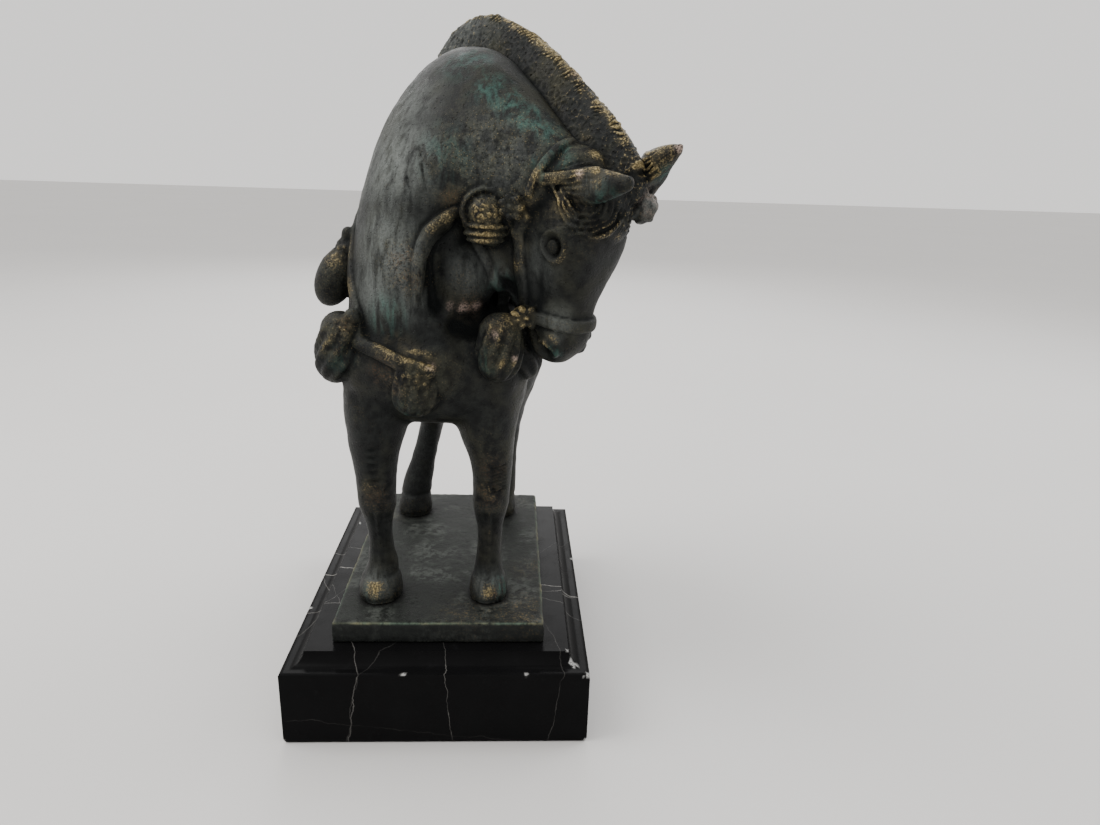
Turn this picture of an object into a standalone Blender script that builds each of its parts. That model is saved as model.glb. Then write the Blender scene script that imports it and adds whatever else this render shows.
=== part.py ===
"""Cast metal horse, standing on a ground plate on a block of black marble.

Metres, +Z up. The origin is the centre of the marble's underside, and the horse faces -Y.
"""
import math
from collections import namedtuple

import bmesh
import bpy
import numpy as np
from mathutils import Vector
from mathutils.bvhtree import BVHTree

# Marble base
BASE_WIDTH = 0.127
BASE_DEPTH = 0.1625
BASE_HEIGHT = 0.0387
LEDGE_DROP = 0.0055         # from the top face down to the ledge
TOP_INSET = 0.00855         # from the sides in to the top face
LEDGE_WIDTH = 0.0032        # flat part of the ledge, before the cove
BASE_ARRIS = 0.0006
COVE_STEPS = 6

# Ground plate
PLATE_WIDTH = 0.0895
PLATE_DEPTH = 0.1359
PLATE_THICKNESS = 0.0094
PLATE_SHIFT = 0.0008        # the plate sits a little behind the marble's centre
PLATE_EDGE = 0.0009

# Gap kept between pieces that touch
CLEARANCE = 0.0003

# Horse
HORSE_HEIGHT = 0.242        # from the plate to the top of the mane
HORSE_PARTS = 242           # the figure is laid out in this many parts of its own height
UNIT = HORSE_HEIGHT / HORSE_PARTS
SOLE_TRIM = 3               # what is cast below the hooves and cut off flat
BODY_VOXEL = 1.6 * UNIT
BODY_ROUNDS = 9             # rounds of smoothing that blend the body's forms together
FINE_VOXEL = 1.15 * UNIT
FINE_ROUNDS = BODY_ROUNDS // 4   # the finished skin gets a quarter of them, to stay crisp
SMOOTHING = 0.5
HORSE_TRIANGLES = 8600
DOME_ANGLES = (0.45, 0.85, 1.2)
SHARP_ANGLE = math.radians(40)

PLATE_BOTTOM = BASE_HEIGHT + CLEARANCE
PLATE_TOP = PLATE_BOTTOM + PLATE_THICKNESS
HOOF_LEVEL = PLATE_TOP + CLEARANCE

COLLECTION = "cast_metal_horse_statue"

# A station of a loft: its upper and lower points, half its width, how square it is
# (2 is an ellipse) and how much wider it is above than below.
Station = namedtuple("Station", "top low half square egg", defaults=(2.0, 0.0))


def unit(vector):
    vector = np.asarray(vector, float)
    return vector / np.linalg.norm(vector)


def spline(values, keys, wanted):
    """Smooth values between the keys, with slopes that never overshoot."""
    values = np.asarray(values, float)
    gaps = np.diff(keys)
    slopes = np.diff(values, axis=0) / gaps[:, None]
    tangents = np.zeros_like(values)
    tangents[0] = slopes[0]
    tangents[-1] = slopes[-1]
    for i in range(1, len(values) - 1):
        before, after = gaps[i - 1], gaps[i]
        tangents[i] = (slopes[i - 1] * after + slopes[i] * before) / (before + after)
    result = []
    for x in wanted:
        i = min(max(int(np.searchsorted(keys, x, side="right")) - 1, 0), len(gaps) - 1)
        t = (x - keys[i]) / gaps[i]
        result.append(values[i] * (2 * t**3 - 3 * t**2 + 1) + tangents[i] * gaps[i] * (t**3 - 2 * t**2 + t)
                      + values[i + 1] * (3 * t**2 - 2 * t**3) + tangents[i + 1] * gaps[i] * (t**3 - t**2))
    return np.array(result)


def between(stations, step):
    """The stations with smooth ones added, about a step apart."""
    rows = np.array([[*s.top, *s.low, s.half, s.square, s.egg] for s in stations], float)
    middles = (rows[:, :3] + rows[:, 3:6]) / 2
    keys = np.concatenate([[0], np.cumsum(np.linalg.norm(np.diff(middles, axis=0), axis=1))])
    count = max(2, int(round(keys[-1] / step)) + 1)
    smooth = spline(rows, keys, np.linspace(0, keys[-1], count))
    return [Station(r[:3], r[3:6], *r[6:]) for r in smooth]


def add_rings(bm, rings, start, end):
    """One closed shell through the rings, with a point at each end."""
    verts = [[bm.verts.new(p) for p in ring] for ring in rings]
    size = len(verts[0])
    for a, b in zip(verts, verts[1:]):
        for i in range(size):
            bm.faces.new((a[i], a[(i + 1) % size], b[(i + 1) % size], b[i]))
    first, last = bm.verts.new(start), bm.verts.new(end)
    for i in range(size):
        bm.faces.new((verts[0][(i + 1) % size], verts[0][i], first))
        bm.faces.new((verts[-1][i], verts[-1][(i + 1) % size], last))


def loft(bm, stations, step=4.0, sides=28, round_start=0.0, round_end=0.0):
    """A closed form through the stations, in the figure's own parts of its height."""
    full = between(stations, step)
    middles = np.array([(np.array(s.top) + s.low) / 2 for s in full])
    ways = np.gradient(middles, axis=0)
    rings = []
    for s, middle, way in zip(full, middles, ways):
        rise = (np.array(s.top) - s.low) / 2
        side = unit(np.cross(rise, way)) * s.half
        ring = []
        for i in range(sides):
            angle = 2 * math.pi * i / sides
            c, v = math.cos(angle), math.sin(angle)
            across = math.copysign(abs(c) ** (2 / s.square), c) * (1 + s.egg * v)
            up = math.copysign(abs(v) ** (2 / s.square), v)
            ring.append(middle + side * across + rise * up)
        rings.append(np.array(ring))
    caps = []
    for ring, middle, way, dome in ((rings[0], middles[0], -unit(ways[0]), round_start),
                                    (rings[-1], middles[-1], unit(ways[-1]), round_end)):
        dome_rings = []
        if dome:
            for angle in DOME_ANGLES:
                dome_rings.append(middle + (ring - middle) * math.cos(angle) + way * dome * math.sin(angle))
        caps.append((dome_rings, middle + way * dome))
    rings = caps[0][0][::-1] + rings + caps[1][0]
    add_rings(bm, [[Vector(p * UNIT) for p in ring] for ring in rings],
              Vector(caps[0][1] * UNIT), Vector(caps[1][1] * UNIT))


def ball(bm, centre, radii, axes=None, sides=20, rows=12):
    """An ellipsoid with its radii along the given axes."""
    axes = np.eye(3) if axes is None else np.array(axes, float)
    rings = []
    for row in range(1, rows):
        polar = math.pi * row / rows
        ring = []
        for i in range(sides):
            angle = 2 * math.pi * i / sides
            local = np.array([math.sin(polar) * math.cos(angle) * radii[0],
                              math.sin(polar) * math.sin(angle) * radii[1], math.cos(polar) * radii[2]])
            ring.append(Vector((np.array(centre) + local @ axes) * UNIT))
        rings.append(ring)
    pole = axes[2] * radii[2]
    add_rings(bm, rings, Vector((np.array(centre) + pole) * UNIT), Vector((np.array(centre) - pole) * UNIT))


# The head has its own axes: along it from poll to muzzle, to its left, and forward out of its face
POLL = np.array([64.5, -68.0, 181.5])
HEAD_TURN = math.radians(44.3)
HEAD_TUCK = math.radians(9.6)
HEAD_ROLL = math.radians(1.6)


def head_axes():
    turn, tuck, roll = HEAD_TURN, HEAD_TUCK, HEAD_ROLL
    forward = np.array([math.sin(turn) * math.cos(tuck), -math.cos(turn) * math.cos(tuck), -math.sin(tuck)])
    left = np.array([math.cos(turn), math.sin(turn), 0.0])
    along = np.cross(forward, left)
    if along[2] > 0:
        along = -along
    return (-math.sin(roll) * left + math.cos(roll) * along,
            math.cos(roll) * left + math.sin(roll) * along, forward)


ALONG, LEFT, FORWARD = head_axes()


def on_head(along, left, forward):
    return POLL + along * ALONG + left * LEFT + forward * FORWARD


def trunk(bm):
    rows = ((-60, 116, 98, 16, -4), (-55, 122, 88, 29, -4), (-45, 128, 81, 37.5, -3.5), (-28, 131, 79, 40, -2.5),
            (-8, 131, 76.5, 41, -1), (14, 130, 75.5, 40.5, 2), (32, 134, 77, 41.5, 5), (46, 136, 80, 41.5, 6),
            (58, 133, 87, 35.5, 6), (66, 126, 97, 22.5, 5), (70, 119, 105, 12, 5))
    loft(bm, [Station((x, y, top), (x, y, low), half, 2.3) for y, top, low, half, x in rows],
         round_start=3, round_end=3)


def neck(bm):
    rows = (((-3, 36, 104), (-4, -46, 84), 36), ((-5, 28, 130), (-7, -57, 104), 35),
            ((-8, 21, 157), (-9, -58, 132), 30), ((-9, 15, 184), (-6, -57, 154), 25),
            ((-3, 9, 209), (2, -55, 163), 23.5), ((9, -2, 224), (10, -53, 166), 21.5),
            ((23.5, -15, 224), (17, -52, 166), 20), ((36, -30, 213), (22, -51, 164), 18.5),
            ((46.5, -44.5, 200.5), (26, -50, 160), 17), ((58, -59, 187), (30, -49, 155), 15.5))
    loft(bm, [Station(top, low, half, 2.2) for top, low, half in rows], sides=44, round_end=2)
    ball(bm, (8.5, -43, 141), (13.5, 13, 16.5))
    ball(bm, (24, -42, 152), (14, 11, 16))
    for across in (-31, 25.5):
        ball(bm, (across, -31, 104), (11, 22, 28))


def throat_fold(bm):
    """The ridge of skin that runs from behind the jaw down the front of the neck."""
    rows = (((8, -54, 167), 1.8), ((3, -56, 163), 2.8), ((-2, -57.5, 158.5), 3.0), ((-5.5, -58, 151), 2.8),
            ((-6.8, -57.5, 142), 2.4), ((-7.5, -56.5, 130), 1.6))
    loft(bm, [Station((x, y - r, z + r), (x, y + 2 * r, z - r), r) for (x, y, z), r in rows], sides=14, round_start=1,
         round_end=1)


def mane(bm):
    rows = (((-2, 43, 132), (-3, 26, 124)), ((-5, 41, 150), (-6, 18, 140)), ((-7, 36, 170), (-8, 12, 160)),
            ((-8, 30, 198), (-9, 8, 186)), ((-4, 22, 224), (-6, 4, 206)), ((6, 12, 238), (2, 0, 216)),
            ((18, 0, 242), (15, -5, 218)), ((33, -14, 235.5), (27, -19, 211)), ((46, -30, 224), (37, -34, 200)),
            ((58, -47, 209.5), (47, -48, 190)), ((69, -61, 195.5), (55, -58, 179)), ((74, -68, 186), (60, -63, 173)))
    loft(bm, [Station(top, low, 4.4, 3.4, -0.1) for top, low in rows], round_start=2, round_end=1.5)


def ears(bm):
    right = (((42, -58, 179), 2.5, 2.5), ((47, -65, 178.5), 4.6, 4.5), ((53.5, -73, 178), 6.6, 5.5),
             ((60, -80, 178.5), 5.2, 4.6), ((66.5, -86.5, 179.4), 2.6, 2.4))
    left = (((72, -52, 176), 5, 3.5), ((76.2, -57, 180.5), 8.4, 5), ((79.5, -62, 184.5), 7.2, 4.8),
            ((82.8, -67, 188.2), 4.6, 3.6), ((85.6, -70.5, 190.8), 1.8, 1.8))
    crest = ((37.5, -66, 180), (41, -68.5, 180.6), (45.5, -71.8, 181.2), (51, -77, 182.4), (57, -81, 183))
    loft(bm, [Station((x, y, z + 1.5), (x, y, z - 3), 1.5) for x, y, z in crest], step=2, sides=16, round_start=1,
         round_end=1)
    for rows in (right, left):
        loft(bm, [Station((x, y, z + tall), (x, y, z - tall), thick, 2.2) for (x, y, z), tall, thick in rows],
             step=2, sides=20, round_end=2)


def head(bm):
    rows = ((-5, -6, -26, 11, 2.2, 0.0), (5, 1, -35, 14, 2.7, 0.12), (15, 3.5, -41, 16, 3.0, 0.15),
            (26, 4, -48, 16.6, 3.1, 0.17), (36, 2, -49, 15, 2.9, 0.14), (46, 0, -45, 12, 2.7, 0.1),
            (54, -0.6, -36, 11.3, 2.6, 0.05), (61, -0.3, -28, 10.7, 2.6, 0.0), (67, -2.0, -23, 9.9, 2.6, 0.0),
            (72, -6.2, -20.5, 7.4, 2.3, 0.0))
    loft(bm, [Station(on_head(a, 0, front), on_head(a, 0, back), half, square, egg)
              for a, front, back, half, square, egg in rows], step=3, round_start=3, round_end=3)
    for side in (-1, 1):
        ball(bm, on_head(33, side * 9.5, -33), (15, 6.5, 15.5), (ALONG, LEFT, FORWARD))
    ball(bm, (69, -62, 178), (9, 9, 8))


def tail(bm):
    rows = (((4, 63, 126), 7, 6), ((4, 70.5, 122), 6, 6), ((4, 74, 113), 5, 5.5), ((4, 74.5, 104), 6, 5.6),
            ((4, 73.5, 95), 5, 5), ((4, 71.5, 88), 2.5, 3))
    loft(bm, [Station((x, y + deep, z), (x, y - deep, z), wide, 2.1) for (x, y, z), wide, deep in rows],
         step=3, sides=20, round_end=2)


def leg(bm, rows):
    loft(bm, [Station((x, y + deep, z), (x, y - deep, z), wide, 2.1) for z, x, y, wide, deep in rows], step=3,
         sides=20)


def legs(bm):
    right = ((92, -27, -37, 14, 18), (80, -27.2, -39, 13.2, 15.5), (70, -28, -40.5, 11, 12.5),
             (59, -28, -41.5, 9.0, 10), (51, -27.8, -42.5, 8.4, 8.6), (44, -27.6, -43, 8.2, 8.6),
             (37, -27.4, -42.2, 6.4, 6.9), (28, -27.0, -41.7, 5.4, 6.0), (20, -26.8, -41.3, 5.8, 6.4),
             (13, -26.4, -41, 7.0, 7.8), (7.5, -27.0, -41.5, 7.4, 8.4))
    left = ((92, 19.5, -37, 14, 18), (80, 19.2, -39, 13, 15.5), (70, 20.5, -40.5, 10.4, 12.5),
            (59, 21.4, -41.5, 8.6, 10), (51, 21.2, -42.5, 8.2, 8.6), (44, 20.8, -43, 8.0, 8.6),
            (37, 20.6, -42.2, 6.4, 6.9), (28, 20.6, -41.7, 5.4, 6.0), (20, 20.4, -41.3, 5.6, 6.4),
            (13, 20.2, -41, 6.4, 7.8), (7.5, 20.2, -41.5, 7.0, 8.4))
    for rows in (right, left):
        leg(bm, rows)
    wide_and_deep = ((104, 38, 15, 26), (88, 41, 15, 23), (74, 46, 11.5, 18), (62, 50.5, 8, 13),
                     (52, 53, 6.6, 10), (42, 51.5, 6.2, 7.6), (33, 49.5, 6.4, 6.4), (25, 48, 7.0, 6.6),
                     (17, 47, 7.9, 7.6), (9, 46.3, 8.6, 8.6))
    right_across = (-19, -17.5, -15, -13.6, -13.2, -15.2, -17.2, -19.2, -21.2, -22.5)
    left_across = (29, 30, 30, 29.4, 28.7, 27.6, 26.6, 25.7, 24.8, 23.8)
    for across in (right_across, left_across):
        leg(bm, [(z, x, y, wide, deep) for (z, y, wide, deep), x in zip(wide_and_deep, across)])


def hoof(bm, x, y, wide):
    deep = wide * 1.22
    rows = ((-SOLE_TRIM, 1.0), (2.5, 1.0), (6, 0.94), (9.5, 0.86), (11.5, 0.74))
    loft(bm, [Station((x, y + deep * s, z), (x, y - deep * s, z), wide * s, 2.2) for z, s in rows], step=2,
         sides=24)


def hooves(bm):
    for x, y, wide in ((-27.6, -41.5, 9.6), (20.2, -42, 8.6), (-22.8, 46.5, 9.2), (23.6, 46.5, 9.0)):
        hoof(bm, x, y, wide)


def nearest(surface, point):
    """The closest point of the body's surface and the way out of it there."""
    spot, normal, _, _ = surface.find_nearest(Vector(np.array(point, float) * UNIT))
    return np.array(spot) / UNIT, np.array(normal)


def strap(bm, surface, points, half=2.6, height=1.5, step=2.5):
    """A flat band that follows the body through the points."""
    points = np.array(points, float)
    keys = np.concatenate([[0], np.cumsum(np.linalg.norm(np.diff(points, axis=0), axis=1))])
    path = spline(points, keys, np.linspace(0, keys[-1], max(3, int(keys[-1] / step))))
    stations = []
    for point in path:
        spot, normal = nearest(surface, point)
        stations.append(Station(spot + normal * height, spot - normal * height, half, 3.2))
    loft(bm, stations, step=step, sides=16, round_start=0.6, round_end=0.6)


def flat_axes(normal, down=(0, 0, -1)):
    """Two axes that lie on a surface, the second as near to down as it allows, and its normal."""
    normal = unit(normal)
    lower = unit(np.array(down, float) - normal * np.dot(down, normal))
    return np.cross(lower, normal), lower, normal


def rosette(bm, surface, point, radius=4.8, petals=7, facing=None, squash=1.0, lift=0.0):
    spot, normal = nearest(surface, point)
    across, down, out = flat_axes(normal if facing is None else facing)
    spot = spot + out * lift
    down = down * squash
    ball(bm, spot, (radius * 0.85, radius * 0.85, 2.6), (across, down, out))
    ball(bm, spot + out * 2.4, (radius * 0.3, radius * 0.3, 1.7), (across, down, out), sides=12, rows=8)
    for i in range(petals):
        angle = 2 * math.pi * i / petals
        way = across * math.cos(angle) + down * math.sin(angle)
        ball(bm, spot + way * radius * 0.7 + out * 1.6, (radius * 0.34, radius * 0.27, 1.7),
             (way, np.cross(out, way), out), sides=12, rows=8)


def tassel(bm, top, bottom, radius, flatness=0.8, facing=(0, -1, 0), flutes=0):
    """A full tassel from its neck to its rounded end, fluted where it says so."""
    top, bottom = np.array(top, float), np.array(bottom, float)
    down = unit(bottom - top)
    out = unit(np.array(facing, float) - down * np.dot(facing, down))
    side = np.cross(down, out)
    length = np.linalg.norm(bottom - top)
    rings = []
    sides = 6 * flutes if flutes else 24
    for share, swell in ((0.02, 0.3), (0.08, 0.5), (0.16, 0.62), (0.22, 0.58), (0.28, 0.72), (0.42, 0.93),
                         (0.58, 1.0), (0.74, 0.95), (0.87, 0.76), (0.95, 0.5), (0.985, 0.25)):
        ring = []
        for i in range(sides):
            angle = 2 * math.pi * i / sides
            depth = 1 - 0.1 * (0.5 - 0.5 * math.cos(flutes * angle)) if flutes and share > 0.25 else 1
            reach = radius * swell * depth
            ring.append(Vector((top + down * length * share + side * reach * math.cos(angle)
                                + out * reach * flatness * math.sin(angle)) * UNIT))
        rings.append(ring)
    add_rings(bm, rings, Vector(top * UNIT), Vector(bottom * UNIT))


def collar(bm, surface):
    strap(bm, surface, ((-8, 30, 176), (-20, 22, 174), (-30, 6, 170), (-35, -12, 163), (-38, -25, 154),
                        (-38, -33, 146), (-36, -41, 136), (-33.5, -48.5, 126)))
    strap(bm, surface, ((-8, 30, 176), (4, 22, 174), (13, 6, 168), (18, -12, 160), (22, -28, 148),
                        (25, -40, 136), (26, -46, 124)))


def breast_strap(bm, surface):
    strap(bm, surface, ((-33.5, -48.5, 126), (-31, -52, 117), (-22, -57, 113.5), (-12, -60, 110), (-2, -61, 108)),
          half=3.2, height=2.6)
    for side in (-1, 1):
        strap(bm, surface, ((side * 34, -44, 120), (side * 44, -24, 116), (side * 46, 4, 112), (side * 46, 30, 112),
                            (side * 38, 52, 112), (side * 22, 66, 110), (4, 72, 108)), half=2.4)


def body_tassels(bm, surface):
    tassel(bm, (-37, -47, 127), (-43.5, -45, 98), 10.6, facing=(-0.7, -0.7, 0), flutes=10)
    tassel(bm, (31, -44, 127), (35, -44, 100), 9.5, facing=(0.7, -0.7, 0), flutes=10)
    tassel(bm, (-8.8, -60, 112), (-8.4, -56.5, 88), 10.4, flutes=12)
    tassel(bm, (-37, -22, 154), (-50, -24, 125.5), 8.6, flatness=0.95, facing=(-1, 0, 0))
    tassel(bm, (22, -27, 149), (32, -28, 123), 7.8, flatness=0.95, facing=(1, 0, 0))
    ball(bm, (-33.4, -49.5, 126), (3.2, 3.2, 3.2))
    ball(bm, (26, -47, 125), (3.2, 3.2, 3.2))
    ball(bm, (-39, -23, 154.5), (2.8, 2.8, 3.6))
    for side in (-1, 1):
        tassel(bm, (side * 42 + 2, 38, 113), (side * 43 + 2, 39, 94), 6, facing=(side, 0, 0), flutes=8)


def side_facing(side):
    """Which way the lower rosettes look: half way between the side and the front of the head."""
    return FORWARD * 0.62 + LEFT * side * 0.78


def bridle(bm, surface):
    for side in (-1, 1):
        path = ((16, 15, -28), (27, 17, -26), (38, 16, -25), (49, 13, -24), (56, 12, -22))
        strap(bm, surface, [on_head(a, side * l, f) for a, l, f in path], half=2.2, height=1.3)
        path = ((26, 11, -49), (34, 13, -46), (43, 12, -42), (52, 11, -34), (57, 12, -24))
        strap(bm, surface, [on_head(a, side * l, f) for a, l, f in path], half=1.7, height=1.2)
        path = ((57, 12, -22), (56, 11, -10), (56, 8, 0), (56, 0, 2))
        strap(bm, surface, [on_head(a, side * l, f) for a, l, f in path], half=2.4, height=1.3)
        path = ((57, 12, -22), (57, 9, -31), (56, 0, -36))
        strap(bm, surface, [on_head(a, side * l, f) for a, l, f in path], half=2.4, height=1.3)
        rosette(bm, surface, on_head(57, side * 13.6, -20.5), 6.4, 8, side_facing(side), 0.72, 1.4)
        rosette(bm, surface, on_head(16, side * 15, -28), 4.8, 7)
    tassel(bm, (25, -56, 130), (23.5, -59, 103), 9.6, facing=(-0.2, -1, 0), flutes=12)
    strap(bm, surface, ((34, -66, 174), (36, -66, 180), (42, -63, 187), (50, -60, 194)), half=1.6, height=1.6)


def cheek_bosses(bm):
    """The bosses that hang behind the upper rosettes. The right one has a raised rim and bands below it."""
    ball(bm, (18.8, -57, 167.6), (7.4, 6.2, 6.6))
    loft(bm, [Station((x, y - r * 0.7, z), (x, y + r * 0.7, z), r) for (x, y, z), r in
              (((18.8, -55.5, 165), 8.0), ((18.6, -55.5, 160), 7.8), ((18, -54, 156.5), 6.2))], round_end=1.5)
    for height, wide in ((162.4, 8.7), (159.6, 8.5), (157.2, 7.4)):
        ball(bm, (18.6, -56.6, height), (wide, 6.0, 1.5))
    rim = []
    for i in range(12):
        angle = math.radians(215 - 190 * i / 11)
        x, z = 18.8 + 8.6 * math.cos(angle), 167.4 + 8.4 * math.sin(angle)
        rim.append(Station((x, -60.2, z), (x, -54, z), 1.2))
    loft(bm, rim, round_start=0.8, round_end=0.8)
    ball(bm, (76, -60, 171), (5.6, 5.8, 6.4))


def face(bm):
    for side in (-1, 1):
        ball(bm, on_head(27, side * 15.6, -9), (5.6, 2.6, 5.4), (ALONG, LEFT, FORWARD))
        ball(bm, on_head(62, side * 8.8, -8.0), (3.2, 2.4, 4.6), (ALONG, LEFT, FORWARD))
    ball(bm, on_head(12, 1, 2), (13, 9.5, 4.5), (ALONG, LEFT, FORWARD))


def mesh_object(name, bm):
    mesh = bpy.data.meshes.new(name)
    bmesh.ops.recalc_face_normals(bm, faces=bm.faces)
    bm.to_mesh(mesh)
    bm.free()
    obj = bpy.data.objects.new(name, mesh)
    collection().objects.link(obj)
    return obj


def collection():
    found = bpy.data.collections.get(COLLECTION)
    if found is None:
        found = bpy.data.collections.new(COLLECTION)
        bpy.context.scene.collection.children.link(found)
    return found


def evaluated(obj):
    """The object with its modifiers made real."""
    graph = bpy.context.evaluated_depsgraph_get()
    mesh = bpy.data.meshes.new_from_object(obj.evaluated_get(graph))
    obj.modifiers.clear()
    old, obj.data = obj.data, mesh
    bpy.data.meshes.remove(old)
    return obj


def fuse(obj, voxel, rounds):
    """One skin round all of the object's forms, with the joins between them softened."""
    remesh = obj.modifiers.new("fuse", "REMESH")
    remesh.mode = "VOXEL"
    remesh.voxel_size = voxel
    smooth = obj.modifiers.new("blend", "SMOOTH")
    smooth.factor = SMOOTHING
    smooth.iterations = rounds
    return evaluated(obj)


# Hollows pressed into the body beside the throat: the line, how wide and how deep
HOLLOWS = ((((4.5, -58, 158.5), (0.8, -58, 154), (-0.6, -58, 148), (-0.6, -58, 140), (0.4, -58, 132)), 3.8, 7.0),
           (((8, -55, 124.5), (14, -52, 122.5), (19, -48, 121)), 4.2, 3.5))


def press_in(obj, hollows):
    """Moves the skin inward along each line, most at the line and fading over its width."""
    count = len(obj.data.vertices)
    points, normals = np.zeros(count * 3), np.zeros(count * 3)
    obj.data.vertices.foreach_get("co", points)
    obj.data.vertex_normals.foreach_get("vector", normals)
    points, normals = points.reshape(-1, 3) / UNIT, normals.reshape(-1, 3)
    push = np.zeros(count)
    for line, wide, deep in hollows:
        gap = np.full(count, np.inf)
        for a, b in zip(np.array(line, float), np.array(line[1:], float)):
            way = b - a
            share = np.clip((points - a) @ way / (way @ way), 0, 1)
            gap = np.minimum(gap, np.linalg.norm(points - a - share[:, None] * way, axis=1))
        push += deep * np.exp(-(gap / wide) ** 2)
    obj.data.vertices.foreach_set("co", ((points - normals * push[:, None]) * UNIT).ravel())
    obj.data.update()


def body_forms(bm):
    trunk(bm)
    neck(bm)
    head(bm)
    tail(bm)
    legs(bm)
    hooves(bm)


def raised_forms(bm, surface):
    mane(bm)
    ears(bm)
    throat_fold(bm)
    collar(bm, surface)
    breast_strap(bm, surface)
    body_tassels(bm, surface)
    bridle(bm, surface)
    cheek_bosses(bm)
    face(bm)


def flat_soles(obj):
    """Cuts the hooves off flat and closes them."""
    bm = bmesh.new()
    bm.from_mesh(obj.data)
    bmesh.ops.bisect_plane(bm, geom=bm.verts[:] + bm.edges[:] + bm.faces[:], plane_co=(0, 0, 0),
                           plane_no=(0, 0, 1), clear_inner=True)
    rims = [edge for edge in bm.edges if edge.is_boundary]
    soles = bmesh.ops.holes_fill(bm, edges=rims)["faces"]
    bmesh.ops.triangulate(bm, faces=soles)
    bmesh.ops.recalc_face_normals(bm, faces=bm.faces)
    bm.to_mesh(obj.data)
    bm.free()


def thin_out(obj, triangles):
    """Fewer triangles, kept where the form turns."""
    obj.modifiers.new("triangles", "TRIANGULATE")
    evaluated(obj)
    collapse = obj.modifiers.new("thin", "DECIMATE")
    collapse.ratio = min(1.0, triangles / len(obj.data.polygons))
    evaluated(obj)


def horse():
    bm = bmesh.new()
    body_forms(bm)
    body = fuse(mesh_object("horse_body", bm), BODY_VOXEL, BODY_ROUNDS)
    press_in(body, HOLLOWS)
    bm = bmesh.new()
    bm.from_mesh(body.data)
    surface = BVHTree.FromBMesh(bm)
    raised_forms(bm, surface)
    bpy.data.objects.remove(body)
    obj = fuse(mesh_object("horse", bm), FINE_VOXEL, FINE_ROUNDS)
    thin_out(obj, HORSE_TRIANGLES)
    flat_soles(obj)
    obj.location.z = HOOF_LEVEL
    finish(obj, material("cast_bronze", (0.075, 0.085, 0.068), 0.48, 0.85))
    return obj


def material(name, colour, roughness, metallic):
    made = bpy.data.materials.new(name)
    made.use_nodes = True
    shader = made.node_tree.nodes["Principled BSDF"]
    shader.inputs["Base Color"].default_value = (*colour, 1)
    shader.inputs["Roughness"].default_value = roughness
    shader.inputs["Metallic"].default_value = metallic
    return made


def finish(obj, surface_material):
    obj.data.materials.clear()
    obj.data.materials.append(surface_material)
    obj.data.shade_smooth()
    obj.data.set_sharp_from_angle(angle=SHARP_ANGLE)


def box(name, width, depth, height, centre, edge):
    bm = bmesh.new()
    bmesh.ops.create_cube(bm, size=1)
    bmesh.ops.scale(bm, vec=(width, depth, height), verts=bm.verts)
    obj = mesh_object(name, bm)
    obj.location = centre
    bevel = obj.modifiers.new("edges", "BEVEL")
    bevel.width = edge
    bevel.segments = 2
    return obj


def ground_plate():
    plate = box("ground_plate", PLATE_WIDTH, PLATE_DEPTH, PLATE_THICKNESS,
                (0, PLATE_SHIFT, PLATE_BOTTOM + PLATE_THICKNESS / 2), PLATE_EDGE)
    finish(plate, material("cast_plate", (0.10, 0.105, 0.085), 0.55, 0.8))


def marble_profile():
    """Inset from the sides and height, from the underside up to the top face."""
    ledge = BASE_HEIGHT - LEDGE_DROP
    points = [(BASE_ARRIS, 0), (0, BASE_ARRIS), (0, ledge - BASE_ARRIS), (BASE_ARRIS, ledge), (LEDGE_WIDTH, ledge)]
    reach, rise = TOP_INSET - LEDGE_WIDTH, LEDGE_DROP
    for i in range(1, COVE_STEPS + 1):
        angle = math.pi / 2 * i / COVE_STEPS
        points.append((LEDGE_WIDTH + reach * math.sin(angle), ledge + rise * (1 - math.cos(angle))))
    return points


def marble_base():
    rings = []
    for inset, height in marble_profile():
        x, y = BASE_WIDTH / 2 - inset, BASE_DEPTH / 2 - inset
        rings.append([Vector((x, y, height)), Vector((-x, y, height)), Vector((-x, -y, height)),
                      Vector((x, -y, height))])
    bm = bmesh.new()
    verts = [[bm.verts.new(point) for point in ring] for ring in rings]
    for low, high in zip(verts, verts[1:]):
        for i in range(4):
            bm.faces.new((low[i], low[(i + 1) % 4], high[(i + 1) % 4], high[i]))
    bm.faces.new(verts[0][::-1])
    bm.faces.new(verts[-1])
    finish(mesh_object("marble_base", bm), material("black_marble", (0.012, 0.013, 0.014), 0.14, 0.0))


def main():
    for old in list(bpy.data.objects):
        bpy.data.objects.remove(old, do_unlink=True)
    marble_base()
    ground_plate()
    horse()


main()
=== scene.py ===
"""The looks of the cast metal horse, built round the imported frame. Metres, +Z up, the horse faces -Y."""
import math
from collections import namedtuple
from itertools import product

import bmesh
import bpy
import numpy as np
from mathutils import Matrix, Vector
from mathutils.bvhtree import BVHTree


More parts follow.
